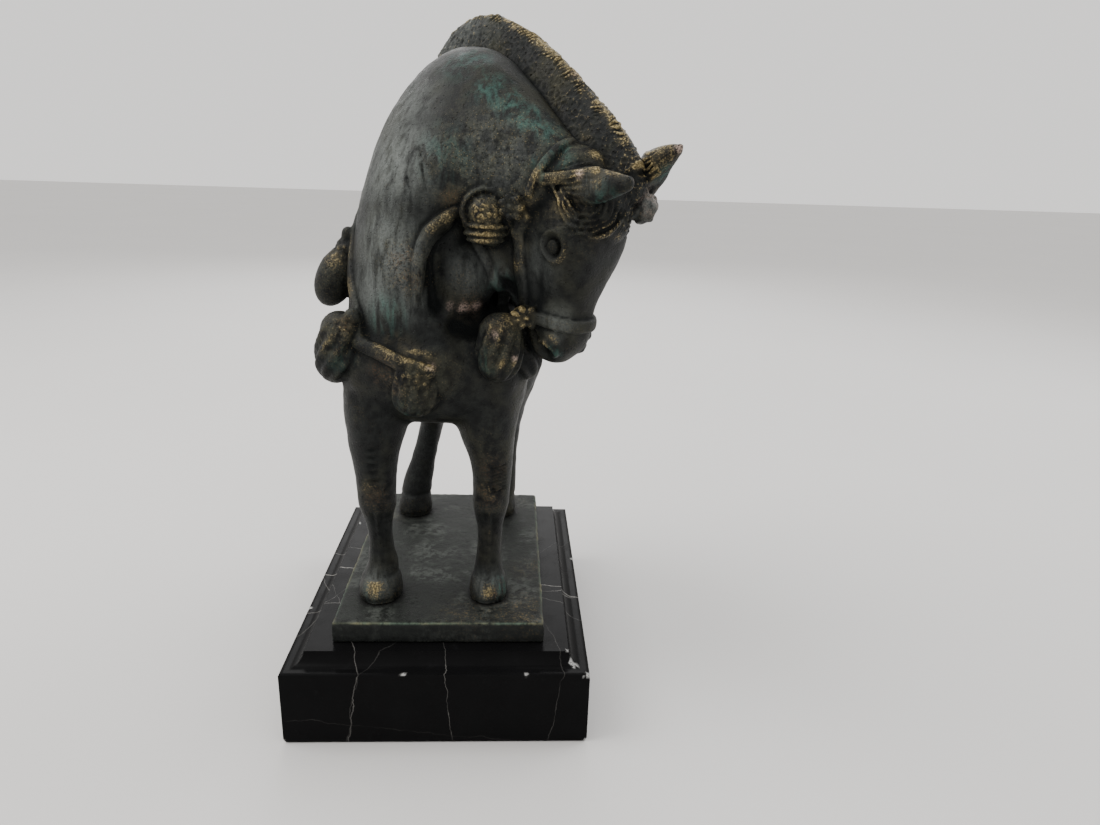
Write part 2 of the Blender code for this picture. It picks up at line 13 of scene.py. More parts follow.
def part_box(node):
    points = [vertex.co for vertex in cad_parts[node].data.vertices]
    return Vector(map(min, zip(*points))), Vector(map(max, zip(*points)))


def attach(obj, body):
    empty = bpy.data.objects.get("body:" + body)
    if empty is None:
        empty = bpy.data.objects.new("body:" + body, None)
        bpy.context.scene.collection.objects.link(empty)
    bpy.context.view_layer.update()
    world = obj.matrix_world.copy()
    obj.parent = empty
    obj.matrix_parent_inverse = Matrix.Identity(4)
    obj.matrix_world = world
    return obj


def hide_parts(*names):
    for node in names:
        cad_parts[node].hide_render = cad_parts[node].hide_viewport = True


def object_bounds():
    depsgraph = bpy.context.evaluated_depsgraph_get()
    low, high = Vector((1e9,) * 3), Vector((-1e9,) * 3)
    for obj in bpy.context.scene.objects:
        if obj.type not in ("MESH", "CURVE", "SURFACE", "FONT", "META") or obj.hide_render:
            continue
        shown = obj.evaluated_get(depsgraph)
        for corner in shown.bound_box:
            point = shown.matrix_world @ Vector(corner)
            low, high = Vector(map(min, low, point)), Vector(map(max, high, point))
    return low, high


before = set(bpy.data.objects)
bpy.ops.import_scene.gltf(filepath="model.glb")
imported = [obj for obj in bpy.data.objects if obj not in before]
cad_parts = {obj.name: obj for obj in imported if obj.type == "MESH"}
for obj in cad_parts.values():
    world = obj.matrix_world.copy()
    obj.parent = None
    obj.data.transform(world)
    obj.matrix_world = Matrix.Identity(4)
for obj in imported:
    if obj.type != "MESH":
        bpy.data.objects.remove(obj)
CAD_BOX = [list(corner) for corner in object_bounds()]

UNIT = 0.001                # the figure is laid out in thousandths of a metre, from the plate's top
HOOF_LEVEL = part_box("horse")[0].z
SOLE_TRIM = 3               # how far the hooves are built on below their soles, and cut off again
BODY_VOXEL = 1.6 * UNIT
BODY_ROUNDS = 9
FINE_VOXEL = 0.55 * UNIT
SMOOTHING = 0.5             # of each round
CAD_MARGIN = 0.00002        # how far inside the CAD box the horse stays
HORSE_TRIANGLES = 190000
PLATE_TRIANGLES = 60000
DOME_ANGLES = (0.35, 0.7, 1.0, 1.3)

# A station of a loft: its upper and lower points, half its width, how square it is
# (2 is an ellipse) and how much wider it is above than below.
Station = namedtuple("Station", "top low half square egg", defaults=(2.0, 0.0))


def unit(vector):
    vector = np.asarray(vector, float)
    return vector / np.linalg.norm(vector)


def spline(values, keys, wanted):
    """Smooth values between the keys, with slopes that never overshoot."""
    values = np.asarray(values, float)
    gaps = np.diff(keys)
    slopes = np.diff(values, axis=0) / gaps[:, None]
    tangents = np.zeros_like(values)
    tangents[0] = slopes[0]
    tangents[-1] = slopes[-1]
    for i in range(1, len(values) - 1):
        before, after = gaps[i - 1], gaps[i]
        tangents[i] = (slopes[i - 1] * after + slopes[i] * before) / (before + after)
    result = []
    for x in wanted:
        i = min(max(int(np.searchsorted(keys, x, side="right")) - 1, 0), len(gaps) - 1)
        t = (x - keys[i]) / gaps[i]
        result.append(values[i] * (2 * t**3 - 3 * t**2 + 1) + tangents[i] * gaps[i] * (t**3 - 2 * t**2 + t)
                      + values[i + 1] * (3 * t**2 - 2 * t**3) + tangents[i + 1] * gaps[i] * (t**3 - t**2))
    return np.array(result)


def between(stations, step):
    """The stations with smooth ones added, about a step apart."""
    rows = np.array([[*s.top, *s.low, s.half, s.square, s.egg] for s in stations], float)
    middles = (rows[:, :3] + rows[:, 3:6]) / 2
    keys = np.concatenate([[0], np.cumsum(np.linalg.norm(np.diff(middles, axis=0), axis=1))])
    count = max(2, int(round(keys[-1] / step)) + 1)
    smooth = spline(rows, keys, np.linspace(0, keys[-1], count))
    return [Station(r[:3], r[3:6], *r[6:]) for r in smooth]


def add_rings(bm, rings, start, end):
    """One closed shell through the rings, with a point at each end."""
    verts = [[bm.verts.new(p) for p in ring] for ring in rings]
    size = len(verts[0])
    for a, b in zip(verts, verts[1:]):
        for i in range(size):
            bm.faces.new((a[i], a[(i + 1) % size], b[(i + 1) % size], b[i]))
    first, last = bm.verts.new(start), bm.verts.new(end)
    for i in range(size):
        bm.faces.new((verts[0][(i + 1) % size], verts[0][i], first))
        bm.faces.new((verts[-1][i], verts[-1][(i + 1) % size], last))


def loft(bm, stations, step=2.0, sides=40, round_start=0.0, round_end=0.0):
    """A closed form through the stations, in thousandths of a metre, with its ends domed where asked."""
    full = between(stations, step)
    middles = np.array([(np.array(s.top) + s.low) / 2 for s in full])
    ways = np.gradient(middles, axis=0)
    rings = []
    for s, middle, way in zip(full, middles, ways):
        rise = (np.array(s.top) - s.low) / 2
        side = unit(np.cross(rise, way)) * s.half
        ring = []
        for i in range(sides):
            angle = 2 * math.pi * i / sides
            c, v = math.cos(angle), math.sin(angle)
            across = math.copysign(abs(c) ** (2 / s.square), c) * (1 + s.egg * v)
            up = math.copysign(abs(v) ** (2 / s.square), v)
            ring.append(middle + side * across + rise * up)
        rings.append(np.array(ring))
    caps = []
    for ring, middle, way, dome in ((rings[0], middles[0], -unit(ways[0]), round_start),
                                    (rings[-1], middles[-1], unit(ways[-1]), round_end)):
        dome_rings = []
        if dome:
            for angle in DOME_ANGLES:
                dome_rings.append(middle + (ring - middle) * math.cos(angle) + way * dome * math.sin(angle))
        caps.append((dome_rings, middle + way * dome))
    rings = caps[0][0][::-1] + rings + caps[1][0]
    add_rings(bm, [[Vector(p * UNIT) for p in ring] for ring in rings],
              Vector(caps[0][1] * UNIT), Vector(caps[1][1] * UNIT))


def ball(bm, centre, radii, axes=None, sides=32, rows=20):
    """An ellipsoid with its radii along the given axes."""
    axes = np.eye(3) if axes is None else np.array(axes, float)
    rings = []
    for row in range(1, rows):
        polar = math.pi * row / rows
        ring = []
        for i in range(sides):
            angle = 2 * math.pi * i / sides
            local = np.array([math.sin(polar) * math.cos(angle) * radii[0],
                              math.sin(polar) * math.sin(angle) * radii[1], math.cos(polar) * radii[2]])
            ring.append(Vector((np.array(centre) + local @ axes) * UNIT))
        rings.append(ring)
    pole = axes[2] * radii[2]
    add_rings(bm, rings, Vector((np.array(centre) + pole) * UNIT), Vector((np.array(centre) - pole) * UNIT))


# The head has its own axes: along it from poll to muzzle, to its left, and forward out of its face
POLL = np.array([64.5, -68.0, 181.5])
HEAD_TURN = math.radians(44.3)
HEAD_TUCK = math.radians(9.6)
HEAD_ROLL = math.radians(1.6)


def head_axes():
    turn, tuck, roll = HEAD_TURN, HEAD_TUCK, HEAD_ROLL
    forward = np.array([math.sin(turn) * math.cos(tuck), -math.cos(turn) * math.cos(tuck), -math.sin(tuck)])
    left = np.array([math.cos(turn), math.sin(turn), 0.0])
    along = np.cross(forward, left)
    if along[2] > 0:
        along = -along
    return (-math.sin(roll) * left + math.cos(roll) * along,
            math.cos(roll) * left + math.sin(roll) * along, forward)


ALONG, LEFT, FORWARD = head_axes()


def on_head(along, left, forward):
    return POLL + along * ALONG + left * LEFT + forward * FORWARD


def trunk(bm):
    rows = ((-60, 116, 98, 16, -4), (-55, 122, 88, 29, -4), (-45, 128, 81, 37.5, -3.5), (-28, 131, 79, 40, -2.5),
            (-8, 131, 76.5, 41, -1), (14, 130, 75.5, 40.5, 2), (32, 134, 77, 41.5, 5), (46, 136, 80, 41.5, 6),
            (58, 133, 87, 35.5, 6), (66, 126, 97, 22.5, 5), (70, 119, 105, 12, 5))
    loft(bm, [Station((x, y, top), (x, y, low), half, 2.3) for y, top, low, half, x in rows],
         round_start=3, round_end=3)


def neck(bm):
    rows = (((-3, 36, 104), (-4, -46, 84), 36), ((-5, 28, 130), (-7, -57, 104), 35),
            ((-8, 21, 157), (-9, -58, 132), 30), ((-9, 15, 184), (-6, -57, 154), 25),
            ((-3, 9, 209), (2, -55, 163), 23.5), ((9, -2, 224), (10, -53, 166), 21.5),
            ((23.5, -15, 224), (17, -52, 166), 20), ((36, -30, 213), (22, -51, 164), 18.5),
            ((46.5, -44.5, 200.5), (26, -50, 160), 17), ((58, -59, 187), (30, -49, 155), 15.5))
    loft(bm, [Station(top, low, half, 2.2) for top, low, half in rows], sides=64, round_end=2)
    ball(bm, (8.5, -43, 141), (13.5, 13, 16.5))
    ball(bm, (24, -42, 152), (14, 11, 16))
    for across in (-31, 25.5):
        ball(bm, (across, -31, 104), (11, 22, 28))


def throat_fold(bm):
    """The ridge of skin that runs from behind the jaw down the front of the neck."""
    rows = (((8, -54, 167), 1.8), ((3, -56, 163), 2.8), ((-2, -57.5, 158.5), 3.0), ((-5.5, -58, 151), 2.8),
            ((-6.8, -57.5, 142), 2.4), ((-7.5, -56.5, 130), 1.6))
    loft(bm, [Station((x, y - r, z + r), (x, y + 2 * r, z - r), r) for (x, y, z), r in rows], sides=20, round_start=1,
         round_end=1)


# The mane's upright band: its crest from the withers to the ears, and its root on the neck
CREST = ((-2, 43, 132), (-5, 41, 150), (-7, 36, 170), (-8, 30, 198), (-4, 22, 224), (6, 12, 238), (18, 0, 242),
         (33, -14, 235.5), (46, -30, 224), (58, -47, 209.5), (69, -61, 195.5), (74, -68, 186))
CREST_ROOT = ((-3, 26, 124), (-6, 18, 140), (-8, 12, 160), (-9, 8, 186), (-6, 4, 206), (2, 0, 216), (15, -5, 218),
              (27, -19, 211), (37, -34, 200), (47, -48, 190), (55, -58, 179), (60, -63, 173))


def mane(bm):
    loft(bm, [Station(top, low, 4.4, 3.4, -0.1) for top, low in zip(CREST, CREST_ROOT)], round_start=2, round_end=1.5)


def ears(bm):
    right = (((42, -58, 179), 2.5, 2.5), ((47, -65, 178.5), 4.6, 4.5), ((53.5, -73, 178), 6.6, 5.5),
             ((60, -80, 178.5), 5.2, 4.6), ((66.5, -86.5, 179.4), 2.6, 2.4))
    left = (((72, -52, 176), 5, 3.5), ((76.2, -57, 180.5), 8.4, 5), ((79.5, -62, 184.5), 7.2, 4.8),
            ((82.8, -67, 188.2), 4.6, 3.6), ((85.6, -70.5, 190.8), 1.8, 1.8))
    crest = ((37.5, -66, 180), (41, -68.5, 180.6), (45.5, -71.8, 181.2), (51, -77, 182.4), (57, -81, 183))
    loft(bm, [Station((x, y, z + 1.5), (x, y, z - 3), 1.4) for x, y, z in crest], step=1, sides=24, round_start=1,
         round_end=1)
    for rows in (right, left):
        loft(bm, [Station((x, y, z + tall), (x, y, z - tall), thick, 2.2) for (x, y, z), tall, thick in rows],
             step=2, sides=20, round_end=2)


def head(bm):
    rows = ((-5, -6, -26, 11, 2.2, 0.0), (5, 1, -35, 14, 2.7, 0.12), (15, 3.5, -41, 16, 3.0, 0.15),
            (26, 4, -48, 16.6, 3.1, 0.17), (36, 2, -49, 15, 2.9, 0.14), (46, 0, -45, 12, 2.7, 0.1),
            (54, -0.6, -36, 11.3, 2.6, 0.05), (61, -0.3, -28, 10.7, 2.6, 0.0), (67, -2.0, -23, 9.9, 2.6, 0.0),
            (72, -6.2, -20.5, 7.4, 2.3, 0.0))
    loft(bm, [Station(on_head(a, 0, front), on_head(a, 0, back), half, square, egg)
              for a, front, back, half, square, egg in rows], step=3, round_start=3, round_end=3)
    for side in (-1, 1):
        ball(bm, on_head(33, side * 9.5, -33), (15, 6.5, 15.5), (ALONG, LEFT, FORWARD))
    ball(bm, (69, -62, 178), (9, 9, 8))


def tail(bm):
    rows = (((4, 63, 126), 7, 6), ((4, 70.5, 122), 6, 6), ((4, 74, 113), 5, 5.5), ((4, 74.5, 104), 6, 5.6),
            ((4, 73.5, 95), 5, 5), ((4, 71.5, 88), 2.5, 3))
    loft(bm, [Station((x, y + deep, z), (x, y - deep, z), wide, 2.1) for (x, y, z), wide, deep in rows],
         step=2, sides=32, round_end=2)


def leg(bm, rows):
    loft(bm, [Station((x, y + deep, z), (x, y - deep, z), wide, 2.1) for z, x, y, wide, deep in rows], step=2,
         sides=32)


def legs(bm):
    right = ((92, -27, -37, 14, 18), (80, -27.2, -39, 13.2, 15.5), (70, -28, -40.5, 11, 12.5),
             (59, -28, -41.5, 9.0, 10), (51, -27.8, -42.5, 8.4, 8.6), (44, -27.6, -43, 8.2, 8.6),
             (37, -27.4, -42.2, 6.4, 6.9), (28, -27.0, -41.7, 5.4, 6.0), (20, -26.8, -41.3, 5.8, 6.4),
             (13, -26.4, -41, 7.0, 7.8), (7.5, -27.0, -41.5, 7.4, 8.4))
    left = ((92, 19.5, -37, 14, 18), (80, 19.2, -39, 13, 15.5), (70, 20.5, -40.5, 10.4, 12.5),
            (59, 21.4, -41.5, 8.6, 10), (51, 21.2, -42.5, 8.2, 8.6), (44, 20.8, -43, 8.0, 8.6),
            (37, 20.6, -42.2, 6.4, 6.9), (28, 20.6, -41.7, 5.4, 6.0), (20, 20.4, -41.3, 5.6, 6.4),
            (13, 20.2, -41, 6.4, 7.8), (7.5, 20.2, -41.5, 7.0, 8.4))
    for rows in (right, left):
        leg(bm, rows)
    wide_and_deep = ((104, 38, 15, 26), (88, 41, 15, 23), (74, 46, 11.5, 18), (62, 50.5, 8, 13),
                     (52, 53, 6.6, 10), (42, 51.5, 6.2, 7.6), (33, 49.5, 6.4, 6.4), (25, 48, 7.0, 6.6),
                     (17, 47, 7.9, 7.6), (9, 46.3, 8.6, 8.6))
    right_across = (-19, -17.5, -15, -13.6, -13.2, -15.2, -17.2, -19.2, -21.2, -22.5)
    left_across = (29, 30, 30, 29.4, 28.7, 27.6, 26.6, 25.7, 24.8, 23.8)
    for across in (right_across, left_across):
        leg(bm, [(z, x, y, wide, deep) for (z, y, wide, deep), x in zip(wide_and_deep, across)])


# Where each hoof stands, and its half width
HOOVES = ((-27.6, -41.5, 9.6), (20.2, -42, 8.6), (-22.8, 46.5, 9.2), (23.6, 46.5, 9.0))
HOOF_LENGTH = 1.22          # in shares of its width


def hoof(bm, x, y, wide):
    deep = wide * HOOF_LENGTH
    rows = ((-SOLE_TRIM, 1.0), (2.5, 1.0), (6, 0.94), (9.5, 0.86), (11.5, 0.74))
    loft(bm, [Station((x, y + deep * s, z), (x, y - deep * s, z), wide * s, 2.2) for z, s in rows], step=1,
         sides=36)


def hooves(bm):
    for x, y, wide in HOOVES:
        hoof(bm, x, y, wide)


def nearest(surface, point):
    """The closest point of the body's surface and the way out of it there."""
    spot, normal, _, _ = surface.find_nearest(Vector(np.array(point, float) * UNIT))
    return np.array(spot) / UNIT, np.array(normal)


def strap(bm, surface, points, half=2.6, height=1.5, step=1.5, square=4.5, end=0.6):
    """A flat band that follows the body through the points."""
    points = np.array(points, float)
    keys = np.concatenate([[0], np.cumsum(np.linalg.norm(np.diff(points, axis=0), axis=1))])
    path = spline(points, keys, np.linspace(0, keys[-1], max(3, int(keys[-1] / step))))
    stations = []
    for point in path:
        spot, normal = nearest(surface, point)
        stations.append(Station(spot + normal * height, spot - normal * height, half, square))
    loft(bm, stations, step=step, sides=32, round_start=0.6, round_end=end)


def flat_axes(normal, down=(0, 0, -1)):
    """Two axes that lie on a surface, the second as near to down as it allows, and its normal."""
    normal = unit(normal)
    lower = unit(np.array(down, float) - normal * np.dot(down, normal))
    return np.cross(lower, normal), lower, normal


def rosette(bm, surface, point, radius=5.2, petals=7, facing=None, squash=1.0, lift=0.0):
    """A flower of round petals, or where it is squashed of long ones with a groove between each."""
    spot, normal = nearest(surface, point)
    across, down, out = flat_axes(normal if facing is None else facing)
    spot = spot + out * lift
    down = down * squash
    long_petals = squash < 1
    ball(bm, spot + out * 0.4, (radius * 0.9, radius * 0.9, 2.6), (across, down, out))
    button, rise = (0.2, 3.4) if long_petals else (0.3, 2.9)
    ball(bm, spot + out * rise, (radius * button, radius * button, 1.3), (across, down, out), sides=20, rows=12)
    for i in range(petals):
        angle = 2 * math.pi * (i + 0.5) / petals
        way = across * math.cos(angle) + down * math.sin(angle)
        side = -across * math.sin(angle) + down * math.cos(angle)
        if long_petals:
            reach, size = 0.62, (radius * 0.41, radius * 0.25, 1.6)
        else:
            reach, size = 0.70, (radius * 0.33, radius * 0.29, 2.0)
        ball(bm, spot + way * radius * reach + out * (2.7 if long_petals else 2.1), size, (way, side, out), sides=20,
             rows=12)


CAPPED = ((0.02, 0.3), (0.05, 0.42), (0.08, 0.5), (0.12, 0.58), (0.16, 0.62), (0.2, 0.6), (0.235, 0.58), (0.28, 0.7),
          (0.34, 0.82), (0.42, 0.93), (0.5, 0.98), (0.58, 1.0), (0.66, 0.98), (0.74, 0.93), (0.81, 0.85),
          (0.87, 0.74), (0.92, 0.6), (0.96, 0.43), (0.985, 0.25))
HOODED = ((0.015, 0.3), (0.04, 0.48), (0.08, 0.64), (0.14, 0.77), (0.2, 0.85), (0.28, 0.91), (0.36, 0.95),
          (0.45, 0.98), (0.55, 1.0), (0.65, 0.98), (0.74, 0.93), (0.81, 0.85), (0.87, 0.74), (0.92, 0.6),
          (0.96, 0.43), (0.985, 0.25))


def tassel(bm, top, bottom, radius, flatness=0.8, facing=(0, -1, 0), flutes=0, shape=CAPPED, groove_depth=0.2,
           twist=0.5):
    """A full tassel from its neck to its rounded end, fluted where it says so."""
    top, bottom = np.array(top, float), np.array(bottom, float)
    down = unit(bottom - top)
    out = unit(np.array(facing, float) - down * np.dot(facing, down))
    side = np.cross(down, out)
    length = np.linalg.norm(bottom - top)
    rings = []
    sides = 12 * flutes if flutes else 48
    for share, swell in shape:
        ring = []
        for i in range(sides):
            angle = 2 * math.pi * i / sides
            groove = abs(math.sin(flutes * (angle + twist * share) / 2)) ** 1.1
            depth = 1 - groove_depth * min(1, (share - 0.14) / 0.25) * (1 - groove) if flutes and share > 0.14 else 1
            reach = radius * swell * depth
            ring.append(Vector((top + down * length * share + side * reach * math.cos(angle)
                                + out * reach * flatness * math.sin(angle)) * UNIT))
        rings.append(ring)
    add_rings(bm, rings, Vector(top * UNIT), Vector(bottom * UNIT))


def collar(bm, surface):
    strap(bm, surface, ((-8, 30, 176), (-20, 22, 174), (-30, 6, 170), (-35, -12, 163), (-38, -25, 154),
                        (-38, -33, 146), (-36, -41, 136), (-33.5, -48.5, 126)))
    strap(bm, surface, ((-8, 30, 176), (4, 22, 174), (13, 6, 168), (18, -12, 160), (22, -28, 148),
                        (25, -40, 136), (26, -46, 124)))


def breast_strap(bm, surface):
    strap(bm, surface, ((-33.5, -48.5, 126), (-31, -52, 117), (-22, -57, 113.5), (-12, -60, 110), (-2, -61, 108)),
          half=3.0, height=2.6, square=2.8, end=2.6)
    for side in (-1, 1):
        strap(bm, surface, ((side * 34, -44, 120), (side * 44, -24, 116), (side * 46, 4, 112), (side * 46, 30, 112),
                            (side * 38, 52, 112), (side * 22, 66, 110), (4, 72, 108)), half=2.4)


def body_tassels(bm):
    tassel(bm, (-37, -47, 127), (-43.5, -45, 98), 10.6, facing=(-0.7, -0.7, 0), flutes=9, shape=HOODED, twist=1.6)
    tassel(bm, (31, -44, 127), (35, -44, 100), 9.5, facing=(0.7, -0.7, 0), flutes=9, shape=HOODED, twist=-1.6)
    tassel(bm, (-8.8, -60, 112), (-8.4, -56.5, 88), 9.9, flutes=12, shape=HOODED, groove_depth=0.14)
    tassel(bm, (-37, -22, 154), (-50, -24, 125.5), 8.6, flatness=0.95, facing=(-1, 0, 0))
    tassel(bm, (22, -27, 149), (32, -28, 123), 7.8, flatness=0.95, facing=(1, 0, 0))
    ball(bm, (-33.4, -49.5, 126), (3.2, 3.2, 3.2))
    ball(bm, (26, -47, 125), (3.2, 3.2, 3.2))
    ball(bm, (-39, -23, 154.5), (2.8, 2.8, 3.6))
    for side in (-1, 1):
        tassel(bm, (side * 42 + 2, 38, 113), (side * 43 + 2, 39, 94), 6, facing=(side, 0, 0), flutes=8)


def side_facing(side):
    """Which way the lower rosettes look: half way between the side and the front of the head."""
    return FORWARD * 0.62 + LEFT * side * 0.78


# The bridle's bands on the head's axes, with half width, height and how square they are:
# cheek strap, jaw strap, noseband and chin strap
BANDS = ((((16, 15, -28), (27, 17, -26), (38, 16, -25), (49, 13, -24), (56, 12, -22)), 2.7, 1.5, 4.5),
         (((26, 11, -49), (34, 13, -46), (43, 12, -42), (52, 11, -34), (57, 12, -24)), 1.7, 1.2, 4.5),
         (((57, 12, -22), (56, 11, -10), (56, 8, 0), (56, 0, 2)), 2.6, 1.9, 3),
         (((57, 12, -22), (57, 9, -31), (56, 0, -36)), 2.4, 1.3, 4.5))


def on_side(line, side):
    """The points of a line that is given for the head's left, on the given side of it."""
    return [on_head(along, side * left, forward) for along, left, forward in line]


def bridle(bm, surface):
    for side in (-1, 1):
        for line, half, height, square in BANDS:
            strap(bm, surface, on_side(line, side), half, height, square=square)
        rosette(bm, surface, on_head(57, side * 13.6, -20.5), 6.8, 8, side_facing(side), 0.72, 1.6)
        rosette(bm, surface, on_head(16, side * 15, -28), 5.2, 7)
    tassel(bm, (25, -56, 130), (23.5, -59, 103), 9.8, facing=(-0.2, -1, 0), flutes=11, shape=HOODED, twist=1.0)
    strap(bm, surface, ((34, -66, 174), (36, -66, 180), (42, -63, 187), (50, -60, 194)), half=1.6, height=1.6)


def cheek_bosses(bm):
    """The bosses that hang behind the upper rosettes. The right one has a raised rim and bands below it."""
    ball(bm, (18.8, -57, 167.6), (7.4, 6.2, 6.6))
    loft(bm, [Station((x, y - r * 0.7, z), (x, y + r * 0.7, z), r) for (x, y, z), r in
              (((18.8, -55.5, 165), 8.0), ((18.6, -55.5, 160), 7.8), ((18, -54, 156.5), 6.2))], round_end=1.5)
    for height, wide in ((162.4, 8.7), (159.6, 8.5), (157.2, 7.4)):
        ball(bm, (18.6, -56.6, height), (wide, 6.0, 1.5))
    rim = []
    for i in range(12):
        angle = math.radians(215 - 190 * i / 11)
        x, z = 18.8 + 8.6 * math.cos(angle), 167.4 + 8.4 * math.sin(angle)
        rim.append(Station((x, -60.2, z), (x, -54, z), 1.2))
    loft(bm, rim, round_start=0.8, round_end=0.8)
    ball(bm, (76, -60, 171), (5.6, 5.8, 6.4))


def face(bm):
    for side in (-1, 1):
        ball(bm, on_head(27, side * 15.6, -9), (5.6, 2.6, 5.4), (ALONG, LEFT, FORWARD))
        ball(bm, on_head(62, side * 8.8, -8.0), (3.2, 2.4, 4.6), (ALONG, LEFT, FORWARD))
    ball(bm, on_head(12, 1, 2), (13, 9.5, 4.5), (ALONG, LEFT, FORWARD))


LOCKS = (((42.2, -67.8, 177.5), (45.7, -71.5, 171.3), (48.5, -74.2, 167.1), (51, -75.4, 163.5)),
         ((44.9, -69.9, 176.3), (48, -73.2, 171.4), (51.2, -75.2, 166.9), (54.2, -75.4, 162.9)))


def mirrored(point):
    """The same point on the other side of the head."""
    point = np.array(point, float)
    return point - 2 * np.dot(point - POLL, LEFT) * LEFT


def lock(bm, line, rise, half):
    """One lock of hair that stands out of the brow, thinner at both ends."""
    shares = np.interp(np.linspace(0, 1, len(line)), (0, 0.4, 0.75, 1), (0.6, 1.0, 1.05, 0.7))
    loft(bm, [Station(np.array(p) + (0, -rise, 0.3), np.array(p) + (0, 1, -0.3), half * share)
              for p, share in zip(line, shares)], step=1, sides=14, round_start=0.4, round_end=0.6)


def forelock(bm):
    """The outer locks of the tuft, from the ears down on to the brow, and its curled lower edge."""
    for line in LOCKS:
        lock(bm, line, 1.9, 0.9)
        lock(bm, [mirrored(p) for p in line], 1.9, 0.9)
    edge = ((48.6, -74.4, 164.4), (52.8, -75.3, 161.9), (58, -73.7, 160.7), (62.4, -71.8, 162), (65.8, -71.3, 165.4),
            (69.4, -69, 169.5))
    lock(bm, edge, 2.0, 0.9)


def mesh_object(name, bm):
    mesh = bpy.data.meshes.new(name)
    bmesh.ops.recalc_face_normals(bm, faces=bm.faces)
    bm.to_mesh(mesh)
    bm.free()
    obj = bpy.data.objects.new(name, mesh)
    bpy.context.scene.collection.objects.link(obj)
    return obj


def evaluated(obj):
    """The object with its modifiers made real."""
    graph = bpy.context.evaluated_depsgraph_get()
    mesh = bpy.data.meshes.new_from_object(obj.evaluated_get(graph))
    obj.modifiers.clear()
    old, obj.data = obj.data, mesh
    bpy.data.meshes.remove(old)
    return obj


def fuse(obj, voxel, rounds):
    """One skin round all of the object's forms, with the joins between them softened."""
    remesh = obj.modifiers.new("fuse", "REMESH")
    remesh.mode = "VOXEL"
    remesh.voxel_size = voxel
    smooth = obj.modifiers.new("blend", "SMOOTH")
    smooth.factor = SMOOTHING
    smooth.iterations = rounds
    return evaluated(obj)


def opened(obj):
    bm = bmesh.new()
    bm.from_mesh(obj.data)
    return bm


def flat_soles(obj):
    """Cuts the hooves off flat and closes them."""
    bm = opened(obj)
    bmesh.ops.bisect_plane(bm, geom=bm.verts[:] + bm.edges[:] + bm.faces[:], plane_co=(0, 0, 0),
                           plane_no=(0, 0, 1), clear_inner=True)
    rims = [edge for edge in bm.edges if edge.is_boundary]
    soles = bmesh.ops.holes_fill(bm, edges=rims)["faces"]
    bmesh.ops.triangulate(bm, faces=soles)
    bmesh.ops.recalc_face_normals(bm, faces=bm.faces)
    bm.to_mesh(obj.data)
    bm.free()


# Hollows pressed into the body beside the throat: the line, how wide and how deep
HOLLOWS = ((((4.5, -58, 158.5), (0.8, -58, 154), (-0.6, -58, 148), (-0.6, -58, 140), (0.4, -58, 132)), 3.8, 7.0),
           (((8, -55, 124.5), (14, -52, 122.5), (19, -48, 121)), 4.2, 3.5))


def points_of(obj):
    """The object's points in thousandths, and the ways out of its skin there."""
    points = np.zeros(len(obj.data.vertices) * 3)
    obj.data.vertices.foreach_get("co", points)
    normals = np.zeros(len(points), np.float32)
    obj.data.vertex_normals.foreach_get("vector", normals)
    return points.reshape(-1, 3) / UNIT, normals.reshape(-1, 3).astype(float)


def put_points(obj, points):
    obj.data.vertices.foreach_set("co", (points * UNIT).ravel())
    obj.data.update()


def to_line(points, line):
    """How far each point is from the line through the given places."""
    best = np.full(len(points), np.inf)
    for a, b in zip(np.array(line, float), np.array(line[1:], float)):
        way = b - a
        share = np.clip((points - a) @ way / (way @ way), 0, 1)
        best = np.minimum(best, np.linalg.norm(points - a - share[:, None] * way, axis=1))
    return best


def press_in(obj):
    """Moves the skin inward along each hollow's line, fading over its width."""
    points, normals = points_of(obj)
    push = np.zeros(len(points))
    for line, wide, deep in HOLLOWS:
        push += deep * np.exp(-(to_line(points, line) / wide) ** 2)
    put_points(obj, points - normals * push[:, None])


def body_forms(bm):
    trunk(bm)
    neck(bm)
    head(bm)
    tail(bm)
    legs(bm)
    hooves(bm)


def raised_forms(bm, surface):
    mane(bm)
    ears(bm)
    throat_fold(bm)
    collar(bm, surface)
    breast_strap(bm, surface)
    body_tassels(bm)
    bridle(bm, surface)
    cheek_bosses(bm)
    face(bm)
    forelock(bm)


# Noise over many points at once, the same in each run


def shuffled(cell, salt):
    n = cell[:, 0] * 73856093 ^ cell[:, 1] * 19349663 ^ cell[:, 2] * 83492791 ^ salt * 2654435761
    n = (n ^ (n >> 13)) * 1274126177
    n = (n ^ (n >> 16)) * 1911520717
    return ((n >> 8) & 0xFFFF) / 0xFFFF


def cloud(points, size, salt):
    """Smooth noise from -1 to 1 with lumps of about the given size."""
    p = points / size
    base = np.floor(p).astype(np.int64)
    part = p - base
    part = part * part * (3 - 2 * part)
    total = np.zeros(len(p))
    for corner in product((0, 1), repeat=3):
        share = np.ones(len(p))
        for axis, step in enumerate(corner):
            share = share * (part[:, axis] if step else 1 - part[:, axis])
        total += share * shuffled(base + corner, salt)
    return total * 2 - 1


def pebbles(points, size, salt):
    """The distance to the nearest of scattered points, in shares of the size."""
    p = points / size
    base = np.floor(p).astype(np.int64)
    best = np.full(len(p), 9.0)
    for step in product((-1, 0, 1), repeat=3):
        cell = base + step
        spot = cell + np.stack([shuffled(cell, salt + k) for k in range(3)], 1)
        best = np.minimum(best, np.linalg.norm(p - spot, axis=1))
    return best


def fall(distance, reach):
    """1 at the middle, smoothly down to 0 at the reach."""
    t = np.clip(distance / reach, 0, 1)
    return (1 - t * t) ** 2


def step_up(value, low, high):
    t = np.clip((value - low) / (high - low), 0, 1)
    return t * t * (3 - 2 * t)


MANE_REACH = 40
MANE_STEPS = 120


